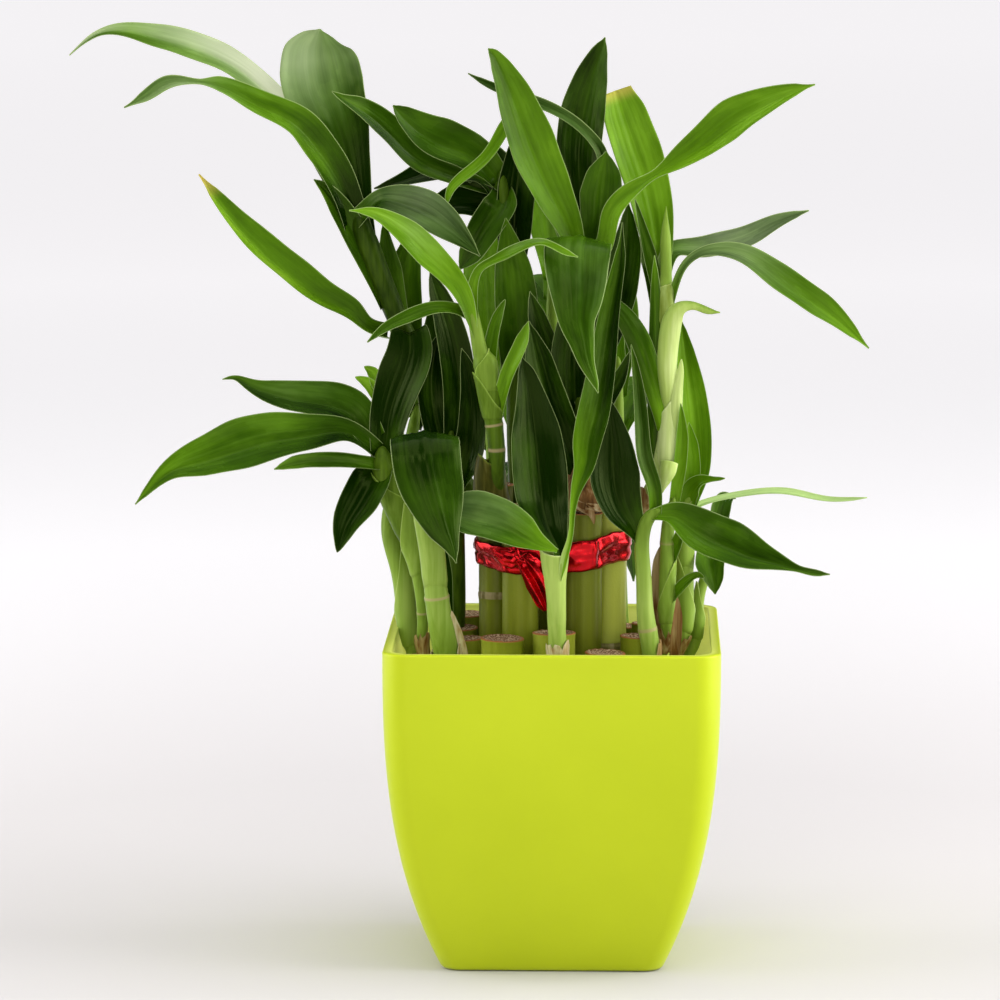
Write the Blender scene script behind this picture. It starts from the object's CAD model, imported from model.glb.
import bpy
import numpy as np
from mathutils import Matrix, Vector


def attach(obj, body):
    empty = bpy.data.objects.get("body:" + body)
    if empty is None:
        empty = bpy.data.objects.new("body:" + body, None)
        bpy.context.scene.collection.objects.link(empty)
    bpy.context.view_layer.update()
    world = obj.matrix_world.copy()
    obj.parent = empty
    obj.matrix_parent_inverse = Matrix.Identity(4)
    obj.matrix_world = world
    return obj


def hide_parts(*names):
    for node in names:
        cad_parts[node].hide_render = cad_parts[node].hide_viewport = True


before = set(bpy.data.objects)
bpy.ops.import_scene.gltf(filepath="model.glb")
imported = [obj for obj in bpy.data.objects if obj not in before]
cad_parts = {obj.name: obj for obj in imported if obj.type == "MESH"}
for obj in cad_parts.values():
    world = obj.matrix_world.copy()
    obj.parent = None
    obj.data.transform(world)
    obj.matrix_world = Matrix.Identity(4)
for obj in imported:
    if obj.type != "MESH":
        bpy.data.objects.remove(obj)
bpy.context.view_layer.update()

MM = 0.001

# The view: the plant is seen from 1.7 m in front of the pot and a little above its rim. The shoots further
# down are set out as they look from this same point, so it is given once, in millimetres.
EYE = np.array([27.0, -1700.0, 385.0])
AIM = np.array([-18.0, 0.0, 152.0])
PICTURE_WIDTH = 1000 / 3
FILM_WIDTH = 36
SKY = np.array([0.0, 0.0, 1.0])
AHEAD = (AIM - EYE) / np.linalg.norm(AIM - EYE)
RIGHT = np.cross(AHEAD, SKY) / np.linalg.norm(np.cross(AHEAD, SKY))
UPRIGHT = np.cross(RIGHT, AHEAD)


def add_object(name, data):
    """Puts a mesh, a camera or a light into the scene as an object at the origin."""
    thing = bpy.data.objects.new(name, data)
    bpy.context.scene.collection.objects.link(thing)
    return thing


def point_at(thing, spot, target):
    """Moves a camera or a light to a spot and turns it to look straight at a target."""
    thing.location = spot
    thing.rotation_mode = "QUATERNION"
    thing.rotation_quaternion = (Vector(target) - Vector(spot)).to_track_quat("-Z", "Y")


camera_data = bpy.data.cameras.new("camera")
camera_data.sensor_width = FILM_WIDTH
camera_data.lens = FILM_WIDTH * np.linalg.norm(AIM - EYE) / PICTURE_WIDTH
camera_data.clip_start, camera_data.clip_end = 0.05, 60
camera = add_object("camera", camera_data)
point_at(camera, EYE * MM, AIM * MM)
bpy.context.scene.camera = camera

# The stage: a wide matt floor, a little darker near the pot and white far out, as a lit studio sweep is.
# Large soft panels stand above and at both sides, and the air is bright behind the plant and dim before it.
FLOOR_HALF_SIZE = 14.0
FLOOR_LEVEL = -0.0002
FLOOR_NEAR, NEAR_REACH = (0.595, 0.57, 0.572), 0.15
FLOOR_FAR, FAR_REACH = (0.735, 0.72, 0.735), 1.00
FLOOR_GLOW = [(0.04, 0.0), (0.12, 0.23), (0.30, 0.45), (0.80, 0.51)]
GLOW_REACH = 8.0
AIR_BEHIND = 0.85
AIR_IN_FRONT = 0.30
AIR_IN_REFLECTIONS = 0.15


def feed(node, inputs):
    """Gives a node its inputs: another node's output is linked, and a value is set on the socket itself."""
    for socket, value in inputs.items():
        if isinstance(value, bpy.types.NodeSocket):
            node.id_data.links.new(value, node.inputs[socket])
        else:
            node.inputs[socket].default_value = value


def add_node(tree, kind, inputs, **settings):
    """A new node of a kind in a tree, with its settings and then its inputs."""
    node = tree.nodes.new("ShaderNode" + kind)
    for name, value in settings.items():
        setattr(node, name, value)
    feed(node, inputs)
    return node


def plain_material(name):
    """A material, its tree of nodes and its main shader."""
    material = bpy.data.materials.new(name)
    material.use_nodes = True
    return material, material.node_tree, material.node_tree.nodes["Principled BSDF"]


def own_place(tree):
    """The object's own coordinates, in metres."""
    return add_node(tree, "TexCoord", {}).outputs["Object"]


def ramp(source, stops):
    """A colour ramp through stops of (position, (red, green, blue))."""
    node = add_node(source.id_data, "ValToRGB", {"Fac": source})
    (first, low), (last, high) = stops[0], stops[-1]
    node.color_ramp.elements[0].position, node.color_ramp.elements[0].color = first, (*low, 1)
    node.color_ramp.elements[1].position, node.color_ramp.elements[1].color = last, (*high, 1)
    for position, colour in stops[1:-1]:
        node.color_ramp.elements.new(position).color = (*colour, 1)
    return node.outputs["Color"]


def mixed(share, first, second):
    """One colour fading into another by a share that a node gives."""
    ends = {name: (*end, 1) if isinstance(end, tuple) else end for name, end in (("A", first), ("B", second))}
    return add_node(share.id_data, "Mix", {"Factor": share, **ends}, data_type="RGBA").outputs["Result"]


def spread(source, low, high, to_low=0.0, to_high=1.0, step="SMOOTHSTEP"):
    """Stretches a range of values to another, with a smooth start and end unless the step is linear."""
    inputs = {"Value": source, "From Min": low, "From Max": high, "To Min": to_low, "To Max": to_high}
    return add_node(source.id_data, "MapRange", inputs, interpolation_type=step).outputs["Result"]


def product(first, second):
    """A node's value times another value."""
    return add_node(first.id_data, "Math", {0: first, 1: second}, operation="MULTIPLY").outputs["Value"]


floor_mesh = bpy.data.meshes.new("studio_floor")
floor_corners = np.array([(-1, -1), (1, -1), (1, 1), (-1, 1)]) * FLOOR_HALF_SIZE
floor_mesh.from_pydata([(x, y, FLOOR_LEVEL) for x, y in floor_corners], [], [(0, 1, 2, 3)])
studio_floor = add_object("studio_floor", floor_mesh)
floor_paint, tree, shader = plain_material("floor_paint")
away = add_node(tree, "VectorMath", {0: own_place(tree)}, operation="LENGTH").outputs["Value"]
glow_stops = [(far, (strength,) * 3) for far, strength in FLOOR_GLOW]
glow = ramp(spread(away, 0, GLOW_REACH, step="LINEAR"), glow_stops)
feed(shader, {
    "Base Color": mixed(spread(away, NEAR_REACH, FAR_REACH), FLOOR_NEAR, FLOOR_FAR),
    "Emission Strength": glow,
    "Emission Color": (1, 0.98, 1, 1),
    "Roughness": 0.9,
    "Specular IOR Level": 0.1,
})
floor_mesh.materials.append(floor_paint)

world = bpy.data.worlds.new("studio_air")
bpy.context.scene.world = world
world.use_nodes = True
tree = world.node_tree
heading = add_node(tree, "SeparateXYZ", {"Vector": add_node(tree, "TexCoord", {}).outputs["Generated"]})
air = spread(heading.outputs["Y"], -0.5, 0.7, AIR_IN_FRONT, AIR_BEHIND)
in_gloss = add_node(tree, "LightPath", {}).outputs["Is Glossy Ray"]
dimming = spread(in_gloss, 0, 1, 1, AIR_IN_REFLECTIONS, step="LINEAR")
feed(tree.nodes["Background"], {"Strength": product(air, dimming), "Color": (1, 1, 1, 1)})
bpy.context.scene.view_settings.view_transform = "Standard"

LIGHT_PANELS = {
    "panel_above": ((0.15, -0.45, 1.5), (0, 0, 0.15), 1.9, 18),
    "panel_left": ((-1.2, 0.0, 0.45), (0, 0, 0.12), 1.1, 12.3),
    "panel_right": ((1.2, -0.1, 0.45), (0, 0, 0.12), 1.1, 18.8),
    "panel_front": ((-0.6, -1.4, 0.95), (0, 0, 0.2), 0.4, 1.8),
    "panel_low": ((0.1, -1.6, 0.30), (0, 0, 0.05), 0.8, 4.2),
}
for name, (spot, target, size, power) in LIGHT_PANELS.items():
    light_data = bpy.data.lights.new(name, "AREA")
    light_data.shape, light_data.size, light_data.energy = "SQUARE", size, power
    light = add_object(name, light_data)
    point_at(light, spot, target)
    light.visible_camera = False

# The pot: one injection-moulded shell in lime green plastic, a rounded square that bulges and falls in
# towards its flat base. It stands on the floor under its own weight, and the canes stand in it.
POT_HEIGHT = 108.6
POT_HALF_WIDTH = 55.2
POT_TAPER = 18.8
POT_TAPER_POWER = 2.7
WALL_AT_RIM = 3.2
WALL_BELOW = 2.2
POT_FLOOR = 4.0
CORNER_AT_RIM = 9.0
CORNER_AT_BASE = 6.0
CORNER_PULL = 0.6
BASE_EDGE = 1.2
RIM_EDGE = 0.7
INNER_RIM_EDGE = 0.5
CORNER_STEPS = 14
FACE_STEPS = 16
WALL_ROWS = 44
INSIDE_COLOUR = (0.80, 0.84, 0.22)
LIGHT_THROUGH_WALL = 0.20


def pot_outline(level, inset):
    """Rounded squares at the levels, as one array: the half width falls in by a power of the depth below
    the rim, and each corner is a quarter circle whose radius grows with the level."""
    half = POT_HALF_WIDTH - POT_TAPER * (1 - level / POT_HEIGHT) ** POT_TAPER_POWER - inset
    corner = CORNER_AT_BASE + (CORNER_AT_RIM - CORNER_AT_BASE) * level / POT_HEIGHT - inset * CORNER_PULL
    turn = np.linspace(0, np.pi / 2, CORNER_STEPS + 1)
    run = np.linspace(0, 1, FACE_STEPS + 1)[1:-1]
    half, corner = half[:, None], corner[:, None]
    straight = half - corner
    x = np.concatenate([straight + corner * np.cos(turn), straight * (1 - 2 * run)], axis=1)
    y = np.concatenate([straight + corner * np.sin(turn), np.repeat(half, len(run), axis=1)], axis=1)
    x, y = np.concatenate([x, -y, -x, y], axis=1), np.concatenate([y, x, -y, -x], axis=1)
    return np.stack([x, y, np.repeat(level[:, None], x.shape[1], axis=1)], axis=2)


def closed_skin(points, marks=None, across=None, along=None, finish=0, ends="capped"):
    """One closed surface over a grid of points, rows by columns, each row a closed outline. The outside is
    where the cross product of the column step and the row step points. The ends are capped with a strip of
    quads, or joined to each other where the rows run round a loop."""
    rows, columns = points.shape[:2]
    edges = rows if ends == "joined" else rows - 1
    i, j = [part.ravel() for part in np.meshgrid(np.arange(edges), np.arange(columns), indexing="ij")]
    after, beside = (i + 1) % rows, (j + 1) % columns
    here, there = i * columns, after * columns
    quads = np.stack([here + j, here + beside, there + beside, there + j], axis=1)
    across = np.linspace(0, 1, columns + 1) if across is None else across
    along = np.linspace(0, 1, edges + 1) if along is None else along
    corners = np.stack([j, j + 1, j + 1, j], axis=1), np.stack([i, i, i + 1, i + 1], axis=1)
    chart = np.stack([across[corners[0]], along[corners[1]]], axis=2)
    if ends == "capped":
        k = np.arange(columns // 2 - 1)
        cap = np.stack([k, k + 1, columns - 2 - k, columns - 1 - k], axis=1)
        quads = np.concatenate([quads, cap[:, ::-1], (rows - 1) * columns + cap])
        flat = np.stack([across[cap], np.zeros(cap.shape)], axis=2)
        chart = np.concatenate([chart, flat[:, ::-1] + (0, along[0]), flat + (0, along[-1])])
    marks = {name: np.broadcast_to(value, (rows, columns)).ravel() for name, value in (marks or {}).items()}
    return {"points": points.reshape(-1, 3), "quads": quads, "chart": chart, "marks": marks, "finish": finish}


def make_piece(name, skins, finishes, node):
    """Joins skins, given in millimetres, into one mesh object at the origin, with its chart and its marks.
    The piece stands for the solid of a node and rides on the one body."""
    start = np.cumsum([0] + [len(skin["points"]) for skin in skins])
    points = np.concatenate([skin["points"] for skin in skins]) * MM
    quads = np.concatenate([skin["quads"] + first for skin, first in zip(skins, start)])
    finish = np.concatenate([np.full(len(skin["quads"]), skin["finish"]) for skin in skins])
    mesh = bpy.data.meshes.new(name)
    mesh.vertices.add(len(points))
    mesh.vertices.foreach_set("co", points.astype(np.float32).ravel())
    mesh.loops.add(quads.size)
    mesh.loops.foreach_set("vertex_index", quads.astype(np.int32).ravel())
    mesh.polygons.add(len(quads))
    mesh.polygons.foreach_set("loop_start", np.arange(0, quads.size, 4, dtype=np.int32))
    mesh.polygons.foreach_set("use_smooth", np.ones(len(quads), bool))
    mesh.polygons.foreach_set("material_index", finish.astype(np.int32))
    mesh.update(calc_edges=True)
    chart = np.concatenate([skin["chart"] for skin in skins]).astype(np.float32)
    mesh.uv_layers.new(name="chart").data.foreach_set("uv", chart.ravel())
    for mark in sorted(set().union(*(skin["marks"] for skin in skins))):
        values = np.concatenate([skin["marks"].get(mark, np.zeros(len(skin["points"]))) for skin in skins])
        mesh.attributes.new(mark, "FLOAT", "POINT").data.foreach_set("value", values.astype(np.float32))
    for material in finishes:
        mesh.materials.append(material)
    mesh.validate()
    piece = add_object(name, mesh)
    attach(piece, "root")
    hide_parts(node)


def mark(tree, name):
    """The node that reads one of a mesh's own marks."""
    return add_node(tree, "Attribute", {}, attribute_name=name).outputs["Fac"]


def stretched_noise(source, scale, detail=2.0, rough=0.5):
    """Noise over coordinates that are stretched by a different amount along each axis."""
    stretch = add_node(source.id_data, "Mapping", {"Vector": source, "Scale": scale}).outputs["Vector"]
    inputs = {"Vector": stretch, "Scale": 1.0, "Detail": detail, "Roughness": rough}
    return add_node(source.id_data, "TexNoise", inputs).outputs["Fac"]


def bump(shader, height, strength, distance):
    """Gives the shader a relief of the height, of a depth in metres."""
    inputs = {"Height": height, "Strength": strength, "Distance": distance}
    feed(shader, {"Normal": add_node(shader.id_data, "Bump", inputs).outputs["Normal"]})


edge_turn = np.linspace(0, np.pi / 2, 5)
rising, falling = 1 - np.cos(edge_turn), 1 - np.sin(edge_turn)
inner_levels = np.concatenate([[106, 104, 102.5], np.linspace(100, POT_FLOOR + 0.6, 24), [POT_FLOOR]])
inner_insets = np.interp(
    inner_levels, [POT_FLOOR, 4.6, 6.5, 98, 106], [3.4, 2.8, WALL_BELOW, WALL_BELOW, WALL_AT_RIM]
)
pot_levels = np.concatenate([
    BASE_EDGE * rising, np.linspace(2.2, POT_HEIGHT - 0.9, WALL_ROWS), POT_HEIGHT - RIM_EDGE * falling,
    POT_HEIGHT - INNER_RIM_EDGE * rising, inner_levels,
])
pot_insets = np.concatenate([
    BASE_EDGE * falling * 0.8, np.zeros(WALL_ROWS), RIM_EDGE * rising,
    WALL_AT_RIM - INNER_RIM_EDGE * falling, inner_insets,
])
rim_row = len(pot_levels) - len(inner_levels)
inside = np.concatenate([np.zeros(rim_row - 5), np.full(5, 0.5), np.ones(len(inner_levels))])

pot_plastic, tree, shader = plain_material("lime_pot_plastic")
place = own_place(tree)
cloud = stretched_noise(place, (22, 22, 22), 3)
colour = ramp(cloud, [(0.3, (0.465, 0.560, 0.009)), (0.75, (0.50, 0.595, 0.011))])
depth_mark = mark(tree, "inside")
feed(shader, {
    "Base Color": mixed(depth_mark, colour, INSIDE_COLOUR),
    "Emission Strength": product(depth_mark, LIGHT_THROUGH_WALL),
    "Emission Color": (0.72, 0.76, 0.20, 1),
    "Specular Tint": (1.0, 1.0, 0.35, 1),
    "Roughness": spread(cloud, 0, 1, 0.30, 0.40, step="LINEAR"),
})
bump(shader, stretched_noise(place, (900, 900, 900)), 0.12, 0.0002)
pot_skin = closed_skin(pot_outline(pot_levels, pot_insets), {"inside": inside[:, None]})
make_piece("pot_shell", [pot_skin], [pot_plastic], "pot")

# The water: clear tap water in the lower third of the pot, poured in round the feet of the canes. It fills
# the pot from wall to wall, so its own solid is kept and only gets the look of water. It wets the walls, so
# its body hardly bends the light, and a film on top of it gives the surface its sheen.
water_clear, tree, shader = plain_material("clear_water")
feed(shader, {
    "Base Color": (0.86, 0.93, 0.90, 1),
    "Roughness": 0.02,
    "IOR": 1.01,
    "Transmission Weight": 1,
    "Coat Weight": 0.8,
    "Coat IOR": 1.33,
})
bump(shader, stretched_noise(own_place(tree), (35, 35, 35)), 0.05, 0.0005)


def finish_solid(node, material):
    """Keeps the solid of a node as it is, with one finish."""
    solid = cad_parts[node]
    solid.data.materials.clear()
    solid.data.materials.append(material)


finish_solid("water", water_clear)

# The canes: straight cut lengths of the plant's own woody stem, smooth and olive green, with a swollen ring
# at each node and a sawn top whose brown pith is speckled with fibre ends. They stand on the pot's floor.
CANE_FOOT = 4.3
OUTER_LEAN = 0.945
INNER_LEAN = 0.965
CANE_COLUMNS = 48
RING_SWELL, RING_REACH = 0.05, 1.7
RING_GROOVE, GROOVE_REACH, GROOVE_ABOVE_RING = 0.035, 0.35, 0.9
SAWN_LIP, SAWN_BEVEL, SAWN_HOLLOW, SAWN_ROUGHNESS, SAWN_TILT = 0.035, 0.05, 0.55, 0.10, 0.035
SHORT_CANES = {
    "short_cane_1": (-16.5, -27.3, 7.0, 110.0),
    "short_cane_2": (0.5, -25.8, 7.0, 111.7),
    "short_cane_3": (17.3, -28.0, 6.6, 105.4),
    "short_cane_4": (28.2, -15.5, 6.0, 109.0),
    "short_cane_5": (31.8, -2.0, 5.4, 106.0),
    "short_cane_6": (31.5, 12.0, 5.5, 109.0),
    "short_cane_7": (24.5, 24.0, 5.9, 106.0),
    "short_cane_8": (8.5, 30.0, 6.0, 110.0),
    "short_cane_9": (-6.0, 30.5, 6.0, 107.0),
    "short_cane_10": (-19.8, 27.5, 6.0, 109.0),
    "short_cane_11": (-29.3, 17.0, 6.0, 111.0),
    "short_cane_12": (-31.5, 3.4, 5.9, 108.5),
    "short_cane_13": (-29.2, -12.8, 6.0, 107.5),
}
TALL_CANES = {
    "tall_cane_1": (-19.3, -3.0, 5.8, 158.0, 121.0),
    "tall_cane_2": (-11.0, -13.2, 6.0, 152.0),
    "tall_cane_3": (10.0, -13.9, 6.3, 150.0, 98.0),
    "tall_cane_4": (18.2, -2.8, 6.2, 154.0, 104.0),
    "tall_cane_5": (18.2, 10.6, 5.8, 147.0, 128.0),
    "tall_cane_6": (7.0, 16.5, 5.7, 152.0, 116.0),
    "tall_cane_7": (-6.2, 16.8, 5.7, 148.0, 122.0),
    "tall_cane_8": (-16.8, 9.7, 5.8, 152.0, 108.0),
}
SHORT_BURIED_RINGS, TALL_BURIED_RINGS = [34.0, 70.0], [46.0, 80.0]
COMMON_TONE = 0.45
OWN_TONE = {
    "tall_cane_1": 0.05, "tall_cane_2": 0.42, "tall_cane_3": 0.10, "tall_cane_4": 0.95, "short_cane_2": 0.6,
}
chance = np.random.default_rng(11)


def bell(distance, reach, power=2):
    """A bell curve: e to the minus (distance over reach) to the power."""
    return np.exp(-((distance / reach) ** power))


def cane_skin(x, y, radius, top, lean, rings, tone):
    """A profile turned about a slightly leaning axis. Going up, the radius swells at each ring as a bell
    curve, with a narrow groove above it, and lips out at the sawn edge. The sawn face runs on inwards to
    the middle, a little hollow, tilted and rough."""
    near_rings = [np.arange(ring - 3.6, ring + 3.7, 0.4) for ring in rings]
    near_top = top - np.array([1.4, 0.9, 0.5, 0.22, 0.06])
    levels = np.unique(np.concatenate([np.arange(CANE_FOOT, top - 1.4, 3.0), *near_rings, near_top]))
    levels = levels[(levels >= CANE_FOOT) & (levels <= top - 0.06)]
    around = np.linspace(0, 2 * np.pi, CANE_COLUMNS, endpoint=False)
    phase = chance.uniform(0, 2 * np.pi, 6)
    swell = 1 + SAWN_LIP * bell(levels - top, 0.8)
    swell -= SAWN_BEVEL * np.clip((levels - top + 0.4) / 0.4, 0, 1) ** 2
    scar = np.zeros(len(levels))
    for ring in rings:
        swell += RING_SWELL * bell(levels - ring, RING_REACH)
        swell -= RING_GROOVE * bell(levels - ring - GROOVE_ABOVE_RING, GROOVE_REACH)
        scar = np.maximum(scar, bell(levels - ring, 1.5, 4))
    out_of_round = 0.012 * np.sin(2 * around + phase[0]) + 0.007 * np.sin(3 * around + phase[1])
    side = radius * (swell[:, None] + out_of_round)
    inward = np.array([0.93, 0.88, 0.82, 0.72, 0.6, 0.46, 0.32, 0.18, 0.07])
    face = radius * inward[:, None] * (1 + out_of_round)
    height = top - 0.02 - SAWN_HOLLOW * np.clip(1 - (inward / 0.9) ** 2, 0, 1)
    rough = chance.normal(0, SAWN_ROUGHNESS, (len(inward), CANE_COLUMNS)) * np.clip(inward * 3, 0, 1)[:, None]
    tilt = SAWN_TILT * radius * np.cos(around + phase[2])
    reach = np.concatenate([side, face])
    z = np.concatenate([np.repeat(levels[:, None], CANE_COLUMNS, 1), height[:, None] + rough])
    z = z + tilt * np.clip((z - top + 6) / 6, 0, 1) * np.clip(reach / radius, 0, 1)
    draw = lean + (1 - lean) * (z - CANE_FOOT) / (top - CANE_FOOT)
    points = np.stack([x * draw + reach * np.cos(around), y * draw + reach * np.sin(around), z], axis=2)
    sawn = np.concatenate([np.zeros(len(levels)), 1 - inward * 0.9])
    cut = np.concatenate([(levels > top - 0.3) * 1.0, np.ones(len(inward))])
    scars = np.concatenate([scar, np.zeros(len(inward))])
    marks = {"tone": tone, "sawn": sawn[:, None], "cut": cut[:, None], "scar": scars[:, None]}
    return closed_skin(points, marks)


def sum_of(first, second, weight=1.0):
    """The first value plus a weight times the second."""
    inputs = {0: second, 1: weight, 2: first}
    return add_node(first.id_data, "Math", inputs, operation="MULTIPLY_ADD").outputs["Value"]


cane_bark, tree, shader = plain_material("cane_bark_and_pith")
place = own_place(tree)
fibre = stretched_noise(place, (420, 420, 12), 3)
tone = sum_of(sum_of(mark(tree, "tone"), fibre, 0.5), stretched_noise(place, (60, 60, 26)), 0.5)
bark = ramp(spread(tone, 0.2, 1.4, step="LINEAR"), [
    (0.0, (0.045, 0.038, 0.008)), (0.33, (0.105, 0.125, 0.007)), (0.66, (0.22, 0.26, 0.017)),
    (1, (0.38, 0.42, 0.06)),
])
speckle = add_node(tree, "TexVoronoi", {"Scale": 1500, "Vector": place}).outputs["Distance"]
pith = ramp(speckle, [(0.10, (0.035, 0.015, 0.008)), (0.45, (0.18, 0.085, 0.045)), (0.8, (0.56, 0.40, 0.26))])
pith = mixed(spread(mark(tree, "sawn"), 0.10, 0.26), (0.30, 0.11, 0.04), pith)
scar_cork = mixed(spread(fibre, 0.4, 0.6), (0.10, 0.06, 0.03), (0.34, 0.26, 0.16))
body = mixed(spread(mark(tree, "scar"), 0.5, 0.8, 0, 0.75), bark, scar_cork)
feed(shader, {
    "Base Color": mixed(mark(tree, "cut"), body, pith),
    "Roughness": spread(mark(tree, "cut"), 0, 1, 0.36, 0.85),
    "Specular Tint": (1.0, 1.0, 0.4, 1),
    "Specular IOR Level": 0.35,
})
bump(shader, sum_of(fibre, speckle, 0.4), 0.35, 0.0003)

for canes, lean, buried_rings in (
    (SHORT_CANES, OUTER_LEAN, SHORT_BURIED_RINGS),
    (TALL_CANES, INNER_LEAN, TALL_BURIED_RINGS),
):
    for node, (x, y, radius, top, *rings) in canes.items():
        skin = cane_skin(x, y, radius, top, lean, [*buried_rings, *rings], OWN_TONE.get(node, COMMON_TONE))
        make_piece(node.replace("_cane_", "_bamboo_"), [skin], [cane_bark], node)

# The lower tie: a plain green garden band, drawn tight round the outer ring of canes half way down the pot.
# It keeps the ring together when the plant is lifted out, and its own solid is kept, with a ribbed look.
tie_band, tree, shader = plain_material("green_tie_band")
rib = stretched_noise(own_place(tree), (90, 90, 2600), 1)
tie_green = ramp(rib, [(0.3, (0.010, 0.055, 0.012)), (0.7, (0.030, 0.120, 0.028))])
feed(shader, {"Base Color": tie_green, "Roughness": 0.6})
bump(shader, rib, 0.4, 0.0003)
finish_solid("lower_tie", tie_band)

# The ribbon: one strip of thin red foil wound round the tall canes and knotted at the front left, so that
# it dips there and one end hangs down. The foil keeps every crease that it was given, and shines.
RIBBON_LEVEL = 138.0
RIBBON_HEIGHT = 9.0
RIBBON_THICKNESS = 0.7
RIBBON_GAP = 0.3
RIBBON_DIP = 3.5
PLEAT_DEPTH = 0.75
TURNED_EDGE = 0.55
KNOT_ANGLE = np.radians(-125)
FOLD_ANGLE, FOLD_REACH, FOLD_HEIGHT = -0.98, 0.035, 0.9
RIBBON_ROWS = 520
RIBBON_COLUMNS = 15
BACK_COLUMNS = 5
CREASES = (
    (0.13, 0.42, 0.40), (0.21, -0.60, 0.32), (0.37, 0.25, 0.20), (0.06, -0.95, 0.26), (0.62, 0.8, 0.09),
)


def line_round(canes, level, gap):
    """The outline of a tight loop round a bundle: for each direction, the outermost point that any cane's
    circle reaches, then the whole outline walked at even steps."""
    x, y, radius, top = np.array([cane[:4] for cane in canes]).T
    draw = INNER_LEAN + (1 - INNER_LEAN) * (level - CANE_FOOT) / (top - CANE_FOOT)
    angle = np.linspace(-np.pi, np.pi, 2400, endpoint=False)
    way = np.stack([np.cos(angle), np.sin(angle)])
    middle = np.stack([x * draw, y * draw], axis=1)
    reach = radius * (1 + RING_SWELL) + gap
    outermost = np.argmax(middle @ way + reach[:, None], axis=0)
    outline = middle[outermost] + reach[outermost][:, None] * way.T
    loop = np.concatenate([outline, outline[:1]])
    walked = np.concatenate([[0], np.cumsum(np.linalg.norm(np.diff(loop, axis=0), axis=1))])
    even = np.linspace(0, walked[-1], RIBBON_ROWS, endpoint=False)
    return np.stack([np.interp(even, walked, loop[:, 0]), np.interp(even, walked, loop[:, 1])], axis=1), even


def creased(run, rise, phase):
    """Foil creases: folded waves, each one minus the size of a sine, at several slants, added together."""
    waves = ((size, np.sin(a * run + b * rise + phase * (k + 1))) for k, (a, b, size) in enumerate(CREASES))
    return sum(size * (1 - np.abs(wave)) for size, wave in waves)


outline, walked = line_round(list(TALL_CANES.values()), RIBBON_LEVEL, RIBBON_GAP)
angle = np.arctan2(outline[:, 1], outline[:, 0])
run = np.roll(outline, -1, axis=0) - np.roll(outline, 1, axis=0)
run /= np.linalg.norm(run, axis=1)[:, None]
away = np.stack([run[:, 1], -run[:, 0]], axis=1)
rise = np.linspace(0.5, -0.5, RIBBON_COLUMNS)
inside_band = 1 - np.abs(2 * rise) ** 6
level = RIBBON_LEVEL - RIBBON_DIP * np.maximum(0, np.cos(angle - KNOT_ANGLE))
height = RIBBON_HEIGHT + 1.5 * np.cos(angle + 0.6) + 0.25 * np.sin(walked * 0.9)
pleat = creased(walked[:, None], rise * height[:, None], 1.3)
outer = RIBBON_THICKNESS * 0.35 + PLEAT_DEPTH * pleat * inside_band
outer = outer + TURNED_EDGE * np.clip((rise - 0.05 * np.sin(walked * 0.25)[:, None]) * 24, 0, 1)
outer = outer + FOLD_HEIGHT * bell(angle - FOLD_ANGLE, FOLD_REACH)[:, None] * inside_band
reach = np.concatenate([outer, np.full((RIBBON_ROWS, BACK_COLUMNS), 0.05)], axis=1)
lift = level[:, None] + height[:, None] * np.concatenate([rise, np.linspace(-0.49, 0.49, BACK_COLUMNS)])
band = [outline[:, k, None] + away[:, k, None] * reach for k in (0, 1)]
ribbon_skins = [closed_skin(np.stack([*band, lift], axis=2), ends="joined")]

KNOT_START = np.array([-19.2, -22.4, 137.6])
KNOT_RUN = np.array([15.0, 0, -4.2])
KNOT_BULGE = np.array([0, -1.6, 0])
KNOT_TALL = 3.5 * np.array([0.27, 0.0, 0.96])
KNOT_DEEP = 1.9 * np.array([0, -1.0, 0])
run = np.linspace(0, 1, 60)[:, None]
around = np.linspace(0, 2 * np.pi, 72, endpoint=False)
waist = 0.5 - 0.5 * np.cos(2 * np.pi * np.clip(run * 1.02, 0, 1))
folds = 1 + 0.20 * np.abs(np.sin(3.5 * around + 5 * run)) - 0.12 * np.abs(np.sin(5 * around - 7 * run))
knot_size = (0.35 + 0.65 * waist**0.5) * (1 - 0.42 * bell(run - 0.55, 0.09)) * folds
knot_points = (KNOT_START + KNOT_RUN * run + KNOT_BULGE * np.sin(np.pi * run))[:, None]
knot_points = knot_points + (knot_size * np.cos(around))[..., None] * KNOT_TALL
knot_points = knot_points + (knot_size * np.sin(around))[..., None] * KNOT_DEEP
ribbon_skins.append(closed_skin(knot_points[:, ::-1]))


def through_picture(places):
    """Places (across, up, deep) as points: a place on the upright picture sheet through the pot's axis is
    carried along its line of sight until it lies deep behind the axis."""
    across, up, deep = np.asarray(places, float)[:, :3].T
    ray = AIM + (across - AIM[0])[:, None] * RIGHT + (up - AIM[2])[:, None] * UPRIGHT - EYE
    return EYE + ray * ((deep - EYE[1]) / ray[:, 1])[:, None]


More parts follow.
